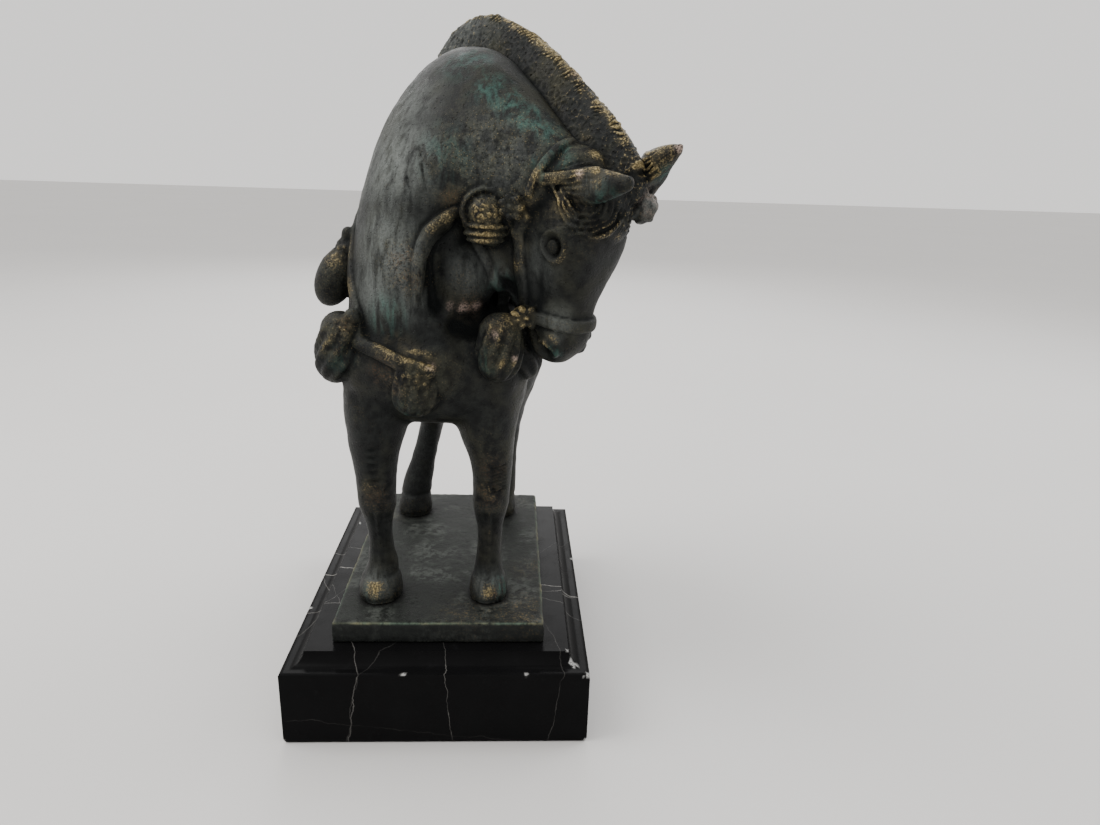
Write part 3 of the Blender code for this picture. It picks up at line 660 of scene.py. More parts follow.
def mane_places(points):
    """How deep below the crest, how far to its side and how far along it each point lies."""
    top = np.array(CREST, float)
    root = np.array(CREST_ROOT, float)
    keys = np.concatenate([[0], np.cumsum(np.linalg.norm(np.diff(top, axis=0), axis=1))])
    wanted = np.linspace(0, keys[-1], MANE_STEPS)
    top, root = spline(top, keys, wanted), spline(root, keys, wanted)
    ways = np.gradient(top, axis=0)
    ways /= np.linalg.norm(ways, axis=1)[:, None]
    downs = root - top
    lengths = np.linalg.norm(downs, axis=1)
    downs /= lengths[:, None]
    sides = np.cross(ways, downs)
    sides /= np.linalg.norm(sides, axis=1)[:, None]
    depth, side, along, best = (np.full(len(points), 99.0) for _ in range(4))
    for i in range(len(top)):
        gap = points - top[i]
        off = np.abs(gap @ ways[i])
        closer = (off < best) & (np.linalg.norm(gap, axis=1) < MANE_REACH)
        best = np.where(closer, off, best)
        depth = np.where(closer, gap @ downs[i], depth)
        side = np.where(closer, gap @ sides[i], side)
        along = np.where(closer, wanted[i] + gap @ ways[i], along)
    return depth, side, along


# Cut lines and ridges: the points, the half width and the depth, where a ridge's is negative.
# On the head's axes: mouth, lip, brow, jaw, cheek bone and the hollow under it
HEAD_LINES = ((((62, 10.6, -18), (65, 10.2, -15.5), (67.5, 9.2, -13), (70.5, 6.5, -11)), 1.5, 2.2),
              (((65, 10, -19.5), (68, 9.0, -17), (70.5, 6.5, -15)), 1.3, -0.5),
              (((18, 14, -2), (20.5, 16.5, -7), (24, 18, -13), (30, 17.6, -16)), 1.8, -0.6),
              (((24, 15, -30), (34, 16.5, -36), (44, 14.5, -35), (51, 12.5, -28)), 2.2, 0.7),
              (((31, 15, -8), (40, 12.8, -9), (50, 11, -9.5)), 2.0, -0.6),
              (((33, 15, -13), (42, 13.4, -15), (50, 12.2, -15)), 2.4, 0.7))
NECK_LINES = ((((-6.2, -50.5, 189.3), (-5.4, -52.6, 186)), 0.4, 0.5),
              (((-5.2, -54.0, 183.4), (-4.4, -55, 179), (-3.2, -56, 174.4)), 0.5, 0.8),
              (((-10.4, -53.5, 178.5), (-9.6, -54.5, 174.5)), 0.45, 0.7),
              (((8.5, -60.5, 168), (6.6, -58.5, 164.2), (1, -60, 162), (-3.2, -60.3, 156)), 1.5, -0.6))
# On a foreleg, from its middle: the knee's cuts, then the hollows and the ridge of the cannon bone
LEG_LINES = ((((1.5, -51.2, 54), (3.4, -50.6, 51), (5.6, -48.6, 54)), 0.8, 0.8),
             (((-5, -49.6, 57), (-1, -51, 56.2), (3, -50.8, 57.4)), 0.7, 0.45),
             (((-5, -49.2, 49), (-1, -50.6, 47.6), (3, -50, 48.4)), 0.8, 0.5),
             (((-1.6, -50, 42), (-1.0, -48.6, 30), (-1.4, -48.4, 18)), 1.1, 0.6),
             (((1.8, -49.6, 42), (1.6, -48.2, 30), (1.6, -48.2, 18)), 1.1, 0.6),
             (((0, -50, 43), (0.2, -48.4, 30), (0, -48.6, 14)), 1.2, -0.5))
FORELEGS = (-26.9, 20.4)


def creases():
    found = [(on_side(line, side), half, deep) for side in (-1, 1) for line, half, deep in HEAD_LINES]
    found += NECK_LINES
    for middle in FORELEGS:
        found += [([(middle + x, y, z) for x, y, z in line], half, deep) for line, half, deep in LEG_LINES]
    return found


# The ears for their ribs: where each starts and ends, and its half height along the way
EARS = (((42, -58, 179), (66.5, -86.5, 179.4), (2.5, 4.6, 6.6, 5.2, 2.6)),
        ((72, -52, 176), (85.6, -70.5, 190.8), (5, 8.4, 7.2, 4.6, 1.8)))
TUFT = (55, -76, 173.5)      # what the hairs of the forelock curl round


def ear_ribs(points, start, end, talls):
    """Ribs that fan from the ear's root to its tip."""
    way = np.array(end, float) - start
    length = np.linalg.norm(way)
    way /= length
    rise = unit(np.array((0, 0, 1.0)) - way * way[2])
    gap = points - start
    along = gap @ way
    tall = np.interp(along, np.linspace(0, length, len(talls)), talls)
    height = gap @ rise
    off = np.linalg.norm(gap - along[:, None] * way, axis=1)
    near = step_up(along, 5, 10) * (1 - 0.85 * step_up(along, 0.4 * length, 0.75 * length))
    near *= 1 - step_up(off, tall + 0.5, tall + 2)
    return 0.34 * np.cos(2 * math.pi * (3.1 * height / tall + 0.5 * cloud(points, 5, 82))) * near


def hairs(points):
    """The hairs of the forelock, which curl round under each ear."""
    push = np.zeros(len(points))
    for middle in (TUFT, mirrored(TUFT)):
        gap = points - middle
        reach = np.linalg.norm(gap, axis=1)
        ids = np.flatnonzero((reach < 15) & (reach > 2.5) & (gap[:, 2] < 1))
        r = reach[ids]
        near = step_up(r, 3, 5) * (1 - step_up(r, 12.5, 14)) * (1 - step_up(gap[ids, 2], -1.5, 0.5))
        turn = np.arctan2(-gap[ids, 2], gap[ids, 0] - gap[ids, 1])
        wave = np.cos(2 * math.pi * (r - 1.5 * turn + 1.5 * cloud(points[ids], 6, 81)) / 2.4)
        uneven = 0.6 + 0.5 * cloud(points[ids], 4, 83)
        push[ids] += 0.6 * wave * near * np.clip(uneven, 0.1, 1)
    return push


def eye_place(points, side):
    """How far each point is from the middle of the eye, along the face's skin."""
    gap = points - on_head(27.2, side * 16.6, -8.6)
    return np.hypot(gap @ ALONG, gap @ FORWARD * 1.05) / 1.12, np.linalg.norm(gap, axis=1)


def eye_shape(points, side):
    """Push along the normal for an eye: the ball, its socket and the lids round it."""
    flat, far = eye_place(points, side)
    ball_rise = 1.3 * np.sqrt(np.clip(1 - (flat / 3.2) ** 2, 0, 1)) - 1.7
    socket = -2.1 * step_up(flat, 2.4, 3.2) * (1 - step_up(flat, 3.6, 4.4))
    lids = 0.6 * np.exp(-((flat - 4.9) / 0.7) ** 2)
    return (ball_rise * (flat < 3.2) + socket + lids) * step_up(fall(far, 12), 0, 0.25)


def leg_marks(points):
    """Short cuts across the fronts of the forelegs, above the knees."""
    push = np.zeros(len(points))
    ids = np.flatnonzero((points[:, 1] < -42) & (points[:, 2] > 46) & (points[:, 2] < 76))
    x, z = points[ids, 0], points[ids, 2]
    for i in range(5):
        push[ids] -= 1.1 * np.exp(-((x + 27.5) / 1.9) ** 2 - ((z - 71.3 + 3.6 * i) / 1.0) ** 2)
    across = step_up(x, 20.5, 22) * (1 - step_up(x, 26.5, 28))
    for i in range(8):
        push[ids] -= 0.8 * np.exp(-((z - 52 - 1.6 * i - 0.25 * (x - 22)) / 0.55) ** 2) * across
    return push


def nostril_shape(points, side):
    gap = points - on_head(67.8, side * 8.6, -9.2)
    a, f = gap @ ALONG, gap @ FORWARD
    near = step_up(fall(np.linalg.norm(gap, axis=1), 10), 0, 0.3) * step_up(gap @ LEFT * side, -3.2, -1.2)
    hollow = -2.3 * fall(np.hypot((a - 0.8) / 1.1, (f + 1.4) / 1.2), 2.7)
    angle = np.arctan2(f + 0.8, -a + 0.4)
    wing = 1.6 * np.exp(-((np.hypot(a, f + 0.6) - 3.9) / 0.9) ** 2) * step_up(np.cos(angle - 0.6), -0.5, 0.3)
    return (hollow + wing) * near


# Rough patches: centre, reach, pebble size and height
ROUGH = (((-8.5, -64, 105.5), 8.5, 2.4, 0.8), ((18, -62, 167), 9.5, 1.9, 0.6), ((-37, -54, 121), 6.5, 2.4, 0.8),
         ((76, -65, 172), 9, 1.9, 0.5), ((23.5, -66, 122), 7, 2.2, 0.7), ((-42, -26, 149), 7, 2.2, 0.6),
         ((32, -48, 121), 6.5, 2.4, 0.8), ((26, -30, 146), 6, 2.2, 0.6))


def carve(points):
    """How far each point of the skin moves out, in thousandths."""
    push = 0.18 * cloud(points, 7.0, 3) + 0.12 * cloud(points, 3.3, 5)
    ids = np.flatnonzero((points[:, 0] > 36) & (points[:, 1] < -48) & (points[:, 2] > 156))
    for start, end, talls in EARS:
        push[ids] += ear_ribs(points[ids], start, end, talls)
    push[ids] += hairs(points[ids])
    depth, side, along = mane_places(points)
    on_mane = (np.abs(side) < 5.6) & (depth > -2) & (depth < 22)
    ids = np.flatnonzero(on_mane)
    p, d, s = points[ids], depth[ids], along[ids]
    phase = (s + 0.5 * d + 2.2 * cloud(p, 5, 11) + 0.6 * cloud(p, 2, 17)) / 2.2
    strokes = np.sin(2 * math.pi * phase) * step_up(cloud(p, 3.4, 12), -0.5, 0.3)
    edge = 1 - step_up(d + 1.6 * cloud(p, 3, 13), 2.4, 5.0)
    wires = sum(np.exp(-(cloud(p * (1, 1.25, 1), size, salt) / 0.13) ** 2) for size, salt in ((2.6, 15), (2.1, 16)))
    pitted = 0.45 * np.clip(wires, 0, 1) - 0.30 - 0.35 * (1 - step_up(pebbles(p, 1.8, 21), 0.1, 0.45))
    fade = (1 - step_up(d, 17, 22)) * (0.75 + 0.25 * cloud(p, 8, 14))
    push[ids] += 0.5 * strokes * edge + 0.9 * pitted * (1 - 0.75 * edge) * fade
    push[ids] -= 0.4 * fall(np.abs(d - 15.5 - cloud(p, 6, 18)), 1.3)
    for centre, reach, size, height in ROUGH:
        ids = np.flatnonzero(np.linalg.norm(points - centre, axis=1) < reach)
        grains = height * (1 - 1.7 * pebbles(points[ids], size, 31))
        push[ids] += grains * fall(np.linalg.norm(points[ids] - centre, axis=1), reach) ** 0.5
    grainy = fall(np.linalg.norm((points - (24, -56, 184)) / (1.2, 1, 0.9), axis=1), 26)
    ids = np.flatnonzero(grainy > 0)
    push[ids] += 0.34 * (1 - 1.8 * pebbles(points[ids], 1.5, 41)) * grainy[ids]
    push += leg_marks(points)
    for line, half, deep in creases():
        middle = np.mean(line, axis=0)
        reach = 3 * half + np.linalg.norm(np.array(line[0]) - line[-1])
        ids = np.flatnonzero(np.linalg.norm(points - middle, axis=1) < reach)
        push[ids] -= deep * np.exp(-(to_line(points[ids], line) / half) ** 2)
    for eye_side in (-1, 1):
        push += eye_shape(points, eye_side) + nostril_shape(points, eye_side)
    for x, y, wide in HOOVES:
        near = (np.hypot(points[:, 0] - x, (points[:, 1] - y) / HOOF_LENGTH) < wide * 1.35) & (points[:, 2] < 16)
        ids = np.flatnonzero(near)
        height = points[ids, 2] + 0.35 * (points[ids, 1] - y + wide) * 0.25
        push[ids] -= 0.4 * np.exp(-((height - 0.8) / 0.7) ** 2)
        push[ids] -= 0.4 * np.exp(-((height - 11.3) / 1.1) ** 2)
        toe = np.exp(-((points[ids, 0] - x + 1) / 1.8) ** 2) * (points[ids, 1] < y) * (height < 10)
        push[ids] += 0.35 * toe
    return push


def neighbours(obj):
    edges = np.zeros(len(obj.data.edges) * 2, np.int64)
    obj.data.edges.foreach_get("vertices", edges)
    edges = edges.reshape(-1, 2)
    return np.concatenate([edges[:, 0], edges[:, 1]]), np.concatenate([edges[:, 1], edges[:, 0]])


def averaged(values, links, rounds):
    """The values of each point blended with those next to it."""
    here, there = links
    count = np.maximum(np.bincount(here, minlength=len(values)), 1)
    flat = values.ndim == 1
    values = values[:, None] if flat else values
    for _ in range(rounds):
        values = np.stack([0.5 * column + 0.5 * np.bincount(here, column[there], len(column)) / count
                           for column in values.T], 1)
    return values[:, 0] if flat else values


def relief(points, normals, links, rounds):
    """How far each point stands out of what lies round it."""
    return ((points - averaged(points, links, rounds)) * normals).sum(1)


# Where the metal is rubbed golden, green-blue, rusty, pale and bare: place, reach and strength, in thousandths
GOLD = (((-29, -52, 7), 4.8, 0.7), ((20.3, -51.5, 5.4), 3.6, 0.5), ((18.8, -62, 166), 8, 0.8),
        ((18, -62, 161), 6, 0.8), ((31.5, -60, 130), 6.5, 0.9), ((33.6, -65, 170), 6, 0.8),
        ((38, -66.8, 180), 5, 0.9), ((45, -70.5, 180.3), 5, 0.9), ((51, -77, 180.6), 5, 0.8),
        ((57, -81, 182.8), 6, 0.6), ((63, -83, 181), 5, 0.6), ((80, -68, 190), 7, 0.6), ((45, -71, 171), 7, 0.85),
        ((58, -73, 162), 6, 0.4), ((6.6, -57, 171.9), 5, 0.35), ((4.5, -59.5, 165.2), 4, 0.4),
        ((-0.5, -60.5, 161.6), 3.5, 0.3), ((-12, -58, 118), 4, 0.3), ((-17.8, -59, 116.8), 7, 0.7),
        ((-9.8, -62, 114), 6, 0.75), ((-3, -63.5, 111.5), 4.5, 0.9), ((-12, -63, 106), 5, 0.6),
        ((-5, -64, 105), 5, 0.55), ((-42, -53, 116), 7, 0.3), ((-36, -52, 122), 5, 0.5), ((23.3, -63, 123), 6, 0.4),
        ((25, -66, 112), 2.6, 0.6), ((31, -65, 112), 2.6, 0.6), ((-43, -28, 147), 6, 0.5), ((-30, -50, 53), 5, 0.25),
        ((20.4, -51, 53), 5, 0.25), ((42, -66.5, 121), 5, 0.45), ((30.9, -61, 158), 5, 0.35),
        ((30, -58, 149), 5, 0.35), ((44.5, -73, 154.5), 5, 0.3), ((-36, -40, 135), 6, 0.4),
        ((-37.5, -30, 150), 8, 0.35), ((20.4, -50, 30), 8, 0.2), ((54, -58, 193), 3, 0.5),
        ((57, -66, 188.7), 3, 0.7), ((60.7, -66, 185.5), 3, 0.6), ((67, -69, 185), 3, 0.5))
TEAL = (((20, -47, 210), 9, 0.8), ((27, -51, 205), 8, 0.9), ((34, -55, 200), 8, 0.85), ((40, -58, 196), 7, 0.6),
        ((45, -65, 190), 5, 0.8), ((3, -55, 188), 12, 0.4), ((-19, -56, 128), 9, 0.7), ((11, -34, 221), 12, 0.55),
        ((62, -83, 174), 4, 0.8), ((59, -82, 175), 6, 0.6), ((83.5, -65, 183), 6, 0.6), ((25.5, -49, 6), 5.5, 1.0),
        ((46, -64, 115), 4, 0.7), ((42.5, -66, 116.5), 4, 0.8), ((38, -66, 184), 6, 0.7), ((46, -64, 186), 6, 0.6),
        ((-30, -50, 5), 5, 0.3), ((19, -65, 112), 6, 0.5), ((-38, -52, 110), 7, 0.35), ((-12, -60, 92), 7, 0.3),
        ((24, -50, 140), 8, 0.35), ((-5, 30, 205), 14, 0.5), ((20, 30, 132), 18, 0.45), ((-25, 40, 128), 16, 0.4),
        ((4, 75, 110), 9, 0.5), ((-30, 0, 150), 14, 0.35), ((30, -10, 180), 16, 0.4), ((40, 10, 112), 12, 0.35),
        ((-42, 15, 112), 12, 0.35))
RUST = (((-12, -57, 149), 7, 0.7), ((-10.7, -58, 143), 7, 0.6), ((-20, -60, 106), 8, 0.6), ((-15, -62, 102), 6, 0.5),
        ((22.5, -51, 4), 3, 1.0), ((6.6, -56.6, 171), 6, 0.5), ((-27, -51, 50), 7, 0.4), ((20.4, -51, 51), 7, 0.5),
        ((12, -52, 130), 8, 0.5), ((23, -63, 124), 5, 0.5), ((-36, -52, 123), 4, 0.6), ((22, -52, 64), 8, 0.4),
        ((50, -74, 172), 6, 0.3), ((-24, 50, 8), 6, 0.3), ((30, 45, 96), 10, 0.3), ((-34, 30, 96), 10, 0.3))
PALE = (((-20, -54, 154), 20, 0.9), ((-16, -47, 184), 22, 0.9), ((-13, -34, 203), 20, 0.6),
        ((-24, -53, 137), 15, 0.8), ((-28, -20, 180), 24, 0.8), ((-10, -58, 135), 12, 0.5),
        ((14, -54, 146), 12, 0.4), ((22, -51.6, 143), 7, 0.6), ((76, -62, 174), 9, 0.8), ((54, -82, 180), 7, 0.5),
        ((24, -56, 188), 22, 0.3), ((36, -64, 150), 14, 0.3), ((46, -67, 128), 9, 0.5), ((-28, -50, 8), 8, 0.6),
        ((20, -50, 7), 8, 0.6), ((24, -25, 200), 20, 0.5), ((-20, 10, 150), 24, 0.5), ((20, 40, 134), 26, 0.5),
        ((-10, 30, 134), 24, 0.5), ((-40, -20, 122), 14, 0.15))
BARE = (((-1, -65.6, 111), 3.0, 1.0), ((5, -55.5, 131.5), 2.4, 0.5), ((10, -53.5, 130.5), 3, 0.45),
        ((15, -51, 131), 3, 0.4), ((69.5, -85, 180.5), 2.5, 0.7), ((51, -78, 182), 2.0, 0.6),
        ((22, -64, 122.5), 2.2, 0.45), ((30.5, -64, 114), 1.8, 0.5), ((86, -72, 191.5), 2.5, 0.6),
        ((78, -63, 173), 6, 0.3), ((40, -36, 229), 3, 0.4), ((52, -41, 218), 4, 0.4))


# Where the skin is sprinkled with small golden flecks
FLECK = (((24, -56, 184), 30, 0.9), ((20, -60, 166), 16, 1.0), ((-11, -57, 147), 14, 0.9), ((-8, -60, 102), 15, 0.8),
         ((45, -58, 190), 18, 0.8), ((-38, -50, 116), 14, 0.7), ((24, -62, 118), 14, 0.6), ((50, -72, 172), 16, 0.6),
         ((-27, -51, 50), 12, 0.15), ((20, -51, 52), 12, 0.2), ((76, -62, 176), 12, 0.6), ((-42, -28, 142), 12, 0.5),
         ((20, -60, 70), 16, 0.3), ((10, 20, 190), 26, 0.4), ((-30, 40, 126), 24, 0.4), ((36, 30, 126), 24, 0.4))


def patches(points, spots):
    mask = np.zeros(len(points))
    for centre, reach, strength in spots:
        mask = np.maximum(mask, strength * fall(np.linalg.norm(points - centre, axis=1), reach * 1.25))
    return mask


def layer(obj, name, values):
    attribute = obj.data.attributes.new(name, "FLOAT", "POINT")
    attribute.data.foreach_set("value", np.asarray(values, np.float32))


def tone(obj):
    """Layers on the mesh for its material: raised places, painted shade in hollow places and in the eyes, and the
    coloured patches.
    """
    points, normals = points_of(obj)
    links = neighbours(obj)
    small = averaged(relief(points, normals, links, 4), links, 1)
    broad = relief(points, normals, links, 60)
    depth, side, along = mane_places(points)
    mane = ((np.abs(side) < 6.2) & (depth > -3) & (depth < 24)).astype(float)
    crest = mane * (1 - step_up(depth + 1.2 * cloud(points, 2.5, 19), 1.2, 4.2))
    crest *= step_up(cloud(points, 5, 20), -0.9, 0.2)
    layer(obj, "wear", np.clip((small - 0.015) / 0.09, 0, 1) * 0.8 + np.clip((broad - 0.7) / 1.5, 0, 1) * 0.3)
    # Painted shade: the skin is darkened where it lies hollow, at a small and a broad scale, where shade falls
    painted_shade = np.clip(-small / 0.10, 0, 1) * 0.6 + np.clip((-broad - 0.15) / 0.9, 0, 1) * 0.7
    gold = np.clip(patches(points, GOLD) + (0.35 + 0.4 * step_up(along, 120, 170)) * crest, 0, 1)
    for eye_side in (-1, 1):
        flat, far = eye_place(points, eye_side)
        # The eye is painted dark, as shade in its socket
        painted_shade = np.maximum(painted_shade, 0.85 * (1 - step_up(flat, 3.2, 4.6)) * (far < 8))
        gold *= 1 - (far < 8) * (1 - step_up(flat, 3.6, 4.4))
    # The hollow layer carries this painted shade to the material
    layer(obj, "hollow", painted_shade)
    layer(obj, "gold", gold)
    layer(obj, "fleck", patches(points, FLECK) * (1 - mane))
    layer(obj, "teal", patches(points, TEAL))
    layer(obj, "rust", patches(points, RUST))
    top = patches(points, (((8, 8, 238), 26, 0.5),))
    layer(obj, "pale", np.where(mane > 0, top, patches(points, PALE)))
    layer(obj, "bare", patches(points, BARE))
    layer(obj, "mane", averaged(mane, links, 2))


def keep_largest(obj):
    """Drops the crumbs that the voxels and the thinning leave beside the skin."""
    here, there = neighbours(obj)
    label = np.arange(len(obj.data.vertices))
    while True:
        lower = label.copy()
        np.minimum.at(lower, here, label[there])
        lower = lower[lower]
        if (lower == label).all():
            break
        label = lower
    crumbs = label != np.bincount(label).argmax()
    bm = opened(obj)
    bm.verts.ensure_lookup_table()
    bmesh.ops.delete(bm, geom=[bm.verts[i] for i in np.flatnonzero(crumbs)], context="VERTS")
    bm.to_mesh(obj.data)
    bm.free()


def thin(obj, triangles):
    """Brings the mesh down to about so many triangles."""
    obj.modifiers.new("triangles", "TRIANGULATE")
    evaluated(obj)
    collapse = obj.modifiers.new("thin", "DECIMATE")
    collapse.ratio = min(1.0, triangles / len(obj.data.polygons))
    evaluated(obj)


def horse():
    bm = bmesh.new()
    body_forms(bm)
    body = fuse(mesh_object("horse_body", bm), BODY_VOXEL, BODY_ROUNDS)
    press_in(body)
    body.modifiers.new("rounder", "SUBSURF").levels = 2
    evaluated(body)
    bm = opened(body)
    surface = BVHTree.FromBMesh(bm)
    raised_forms(bm, surface)
    bpy.data.objects.remove(body)
    obj = fuse(mesh_object("cast_horse", bm), FINE_VOXEL, 1)
    points, normals = points_of(obj)
    put_points(obj, points + normals * carve(points)[:, None])
    thin(obj, HORSE_TRIANGLES)
    keep_largest(obj)
    flat_soles(obj)
    tone(obj)
    low, high = np.array(CAD_BOX)
    points = points_of(obj)[0] * UNIT + (0, 0, HOOF_LEVEL)
    points = np.clip(points, low + CAD_MARGIN, high - CAD_MARGIN)
    points[:, 2] = np.maximum(points[:, 2], HOOF_LEVEL)
    obj.data.vertices.foreach_set("co", points.ravel())
    obj.data.update()
    obj.data.shade_smooth()
    return obj


def ring_points(width, depth, inset, height, across, deep):
    """Points round a rectangle, with the same number on each side at every inset."""
    x, y = width / 2 - inset, depth / 2 - inset
    corners = ((x, y), (-x, y), (-x, -y), (x, -y))
    points = []
    for i, (a, b) in enumerate(zip(corners, corners[1:] + corners[:1])):
        count = across if i % 2 == 0 else deep
        for j in range(count):
            t = j / count
            points.append((a[0] + (b[0] - a[0]) * t, a[1] + (b[1] - a[1]) * t, height))
    return points


BASE_WIDTH, BASE_DEPTH, BASE_HEIGHT = (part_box("marble_base")[1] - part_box("marble_base")[0])
# The step and the cove round its top, in metres
LEDGE_DROP = 0.0055
TOP_INSET = 0.00855
LEDGE_WIDTH = 0.0032
BASE_ARRIS = 0.0006
# The chips in its edges: place and reach
CHIPS = ((0.0372, -0.0812, 0.0332, 0.0009), (-0.0135, -0.0812, 0.0332, 0.0009), (0.0634, -0.0812, 0.0332, 0.0017),
         (0.0575, -0.0757, 0.0352, 0.0028), (0.0549, -0.0727, 0.0387, 0.001), (-0.0634, -0.031, 0.0332, 0.001),
         (0.0634, 0.018, 0.0332, 0.001), (-0.03, 0.0812, 0.0332, 0.0011), (0.022, 0.0812, 0.0002, 0.0012),
         (-0.0549, 0.048, 0.0387, 0.0009), (0.0634, -0.0812, 0.0001, 0.0012), (-0.0634, -0.0812, 0.0003, 0.001))


def marble():
    ledge = BASE_HEIGHT - LEDGE_DROP
    rings = [(BASE_ARRIS + 0.004, 0), (BASE_ARRIS, 0), (BASE_ARRIS * 0.3, BASE_ARRIS * 0.3), (0, BASE_ARRIS)]
    rings += [(0, 0.002 + (ledge - 0.004) * i / 8) for i in range(9)]
    rings += [(0, ledge - BASE_ARRIS), (BASE_ARRIS * 0.3, ledge - BASE_ARRIS * 0.3), (BASE_ARRIS, ledge),
              (0.0019, ledge), (LEDGE_WIDTH, ledge)]
    reach, steps = TOP_INSET - LEDGE_WIDTH, 12
    for i in range(1, steps + 1):
        angle = math.pi / 2 * i / steps
        rings.append((LEDGE_WIDTH + reach * math.sin(angle), ledge + LEDGE_DROP * (1 - math.cos(angle))))
    rings += [(TOP_INSET + 0.0003, BASE_HEIGHT), (TOP_INSET + 0.0015, BASE_HEIGHT), (TOP_INSET + 0.004, BASE_HEIGHT)]
    points = np.array([ring_points(BASE_WIDTH, BASE_DEPTH, inset, height, 150, 190) for inset, height in rings])
    size = points.shape[1]
    flat = points.reshape(-1, 3)
    white = np.zeros(len(flat))
    middle = np.array((0, 0, BASE_HEIGHT / 2))
    for x, y, z, radius in CHIPS:
        gap = np.linalg.norm((flat - (x, y, z)) / (1.25, 1.25, 0.9), axis=1)
        rough = 1 + 0.5 * cloud(flat, 0.0007, 51)
        bite = fall(gap * rough, radius) * radius * 0.55
        inward = middle - (x, y, z)
        inward = inward / np.abs(inward).max() * (1, 1, 2.2)
        flat += bite[:, None] * inward / np.linalg.norm(inward)
        white = np.maximum(white, step_up(bite, radius * 0.06, radius * 0.25))
    bm = bmesh.new()
    verts = [bm.verts.new(p) for p in flat]
    for a in range(len(rings) - 1):
        for i in range(size):
            j = (i + 1) % size
            bm.faces.new((verts[a * size + i], verts[a * size + j], verts[(a + 1) * size + j],
                          verts[(a + 1) * size + i]))
    bm.faces.new(verts[:size][::-1])
    bm.faces.new(verts[-size:])
    obj = mesh_object("veined_marble", bm)
    layer(obj, "chip", white)
    obj.data.shade_smooth()
    obj.data.set_sharp_from_angle(angle=math.radians(35))
    return obj


PLATE_ARRIS = 0.0007
PLATE_VOXEL = 0.00075
HOOF_SHADOW_LENGTH = 1.2           # of the painted shadow round a hoof, in shares of its width
PLATE_RUST = (((36, -58, 48), 18, 0.9), ((12, -60, 48), 16, 0.5), ((40, -20, 48), 12, 0.5),
              ((-38, 40, 48), 14, 0.5), ((30, 56, 48), 12, 0.4))


def plate():
    low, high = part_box("ground_plate")
    middle, size = (low + high) / 2, high - low
    bm = bmesh.new()
    bmesh.ops.create_cube(bm, size=1)
    bmesh.ops.scale(bm, vec=size, verts=bm.verts)
    obj = mesh_object("cast_ground_plate", bm)
    bevel = obj.modifiers.new("edges", "BEVEL")
    bevel.width = PLATE_ARRIS
    bevel.segments = 3
    fuse(obj, PLATE_VOXEL, 2)
    points, normals = points_of(obj)
    half = np.array(size) / UNIT / 2
    inner = half - np.abs(points)
    edge_x, edge_y, edge_z = inner.T
    rim = np.exp(-(np.minimum(edge_x, edge_y) / 1.6) ** 2) * np.exp(-(edge_z / 1.6) ** 2)
    waves = 0.5 + 0.5 * cloud(points, 7, 61)
    skin = 0.10 + 0.10 * cloud(points, 9, 62) + 0.07 * cloud(points, 3, 63) + 0.05 * cloud(points, 1.4, 64)
    pits = step_up(cloud(points, 6, 66), 0.35, 0.7) * (1 - step_up(pebbles(points, 2.4, 65), 0.15, 0.4))
    inward = np.clip(skin, 0, None) + 0.28 * pits + rim * (0.12 + 0.42 * waves + 0.25 * cloud(points, 2.1, 67))
    top = points[:, 2] > 0
    inward = np.where(top | (edge_z > 0.8), inward, 0.02)
    points = points - normals * inward[:, None]
    limit = half - 0.005
    points = np.clip(points, -limit, limit)
    put_points(obj, points + np.array(middle) / UNIT)
    thin(obj, PLATE_TRIANGLES)
    points, normals = points_of(obj)
    local = points - np.array(middle) / UNIT
    inner = half - np.abs(local)
    rim = np.exp(-(np.minimum(inner[:, 0], inner[:, 1]) / 0.75) ** 2)
    rim *= step_up(local[:, 2], half[2] - 1.2, half[2] - 0.4)
    # Painted shade in the pits of the cast skin
    layer(obj, "hollow", np.clip(-relief(points, normals, neighbours(obj), 4) / 0.06, 0, 1))
    layer(obj, "rim", rim)
    layer(obj, "side", 1 - step_up(np.abs(normals[:, 2]), 0.3, 0.8))
    layer(obj, "rust", patches(points, PLATE_RUST))
    # Painted shadow on the plate round each hoof, where it stands
    painted_hoof_shadow = np.zeros(len(points))
    for x, y, wide in HOOVES:
        reach = np.hypot(points[:, 0] - x, (points[:, 1] - y) / HOOF_SHADOW_LENGTH) / wide
        painted_hoof_shadow = np.maximum(painted_hoof_shadow, 1 - step_up(reach, 0.95, 1.35))
    layer(obj, "hoof_shadow", painted_hoof_shadow)
    obj.data.shade_smooth()
    return obj


# Materials


def feed(tree, made, inputs):
    """Links the node's inputs to sockets, or sets them to values."""
    for key, value in inputs.items():
        if isinstance(value, bpy.types.NodeSocket):
            tree.links.new(value, made.inputs[key])
        else:
            made.inputs[key].default_value = value


def node(tree, kind, inputs=None, **settings):
    made = tree.nodes.new(kind)
    for key, value in settings.items():
        setattr(made, key, value)
    feed(tree, made, inputs or {})
    return made


def sums(tree, operation, a, b=0.0, clamp=False):
    return node(tree, "ShaderNodeMath", {0: a, 1: b}, operation=operation, use_clamp=clamp).outputs[0]


def plus(tree, a, b, clamp=False):
    return sums(tree, "ADD", a, b, clamp)


def most(tree, a, b, clamp=False):
    return sums(tree, "MAXIMUM", a, b, clamp)


def bumps(tree, height, strength=0.8, distance=0.0004):
    return node(tree, "ShaderNodeBump", {"Strength": strength, "Distance": distance, "Height": height}).outputs[0]


def mixed(tree, share, a, b):
    a, b = (c if isinstance(c, bpy.types.NodeSocket) else (*c, 1) for c in (a, b))
    return node(tree, "ShaderNodeMix", {0: share, 6: a, 7: b}, data_type="RGBA").outputs[2]


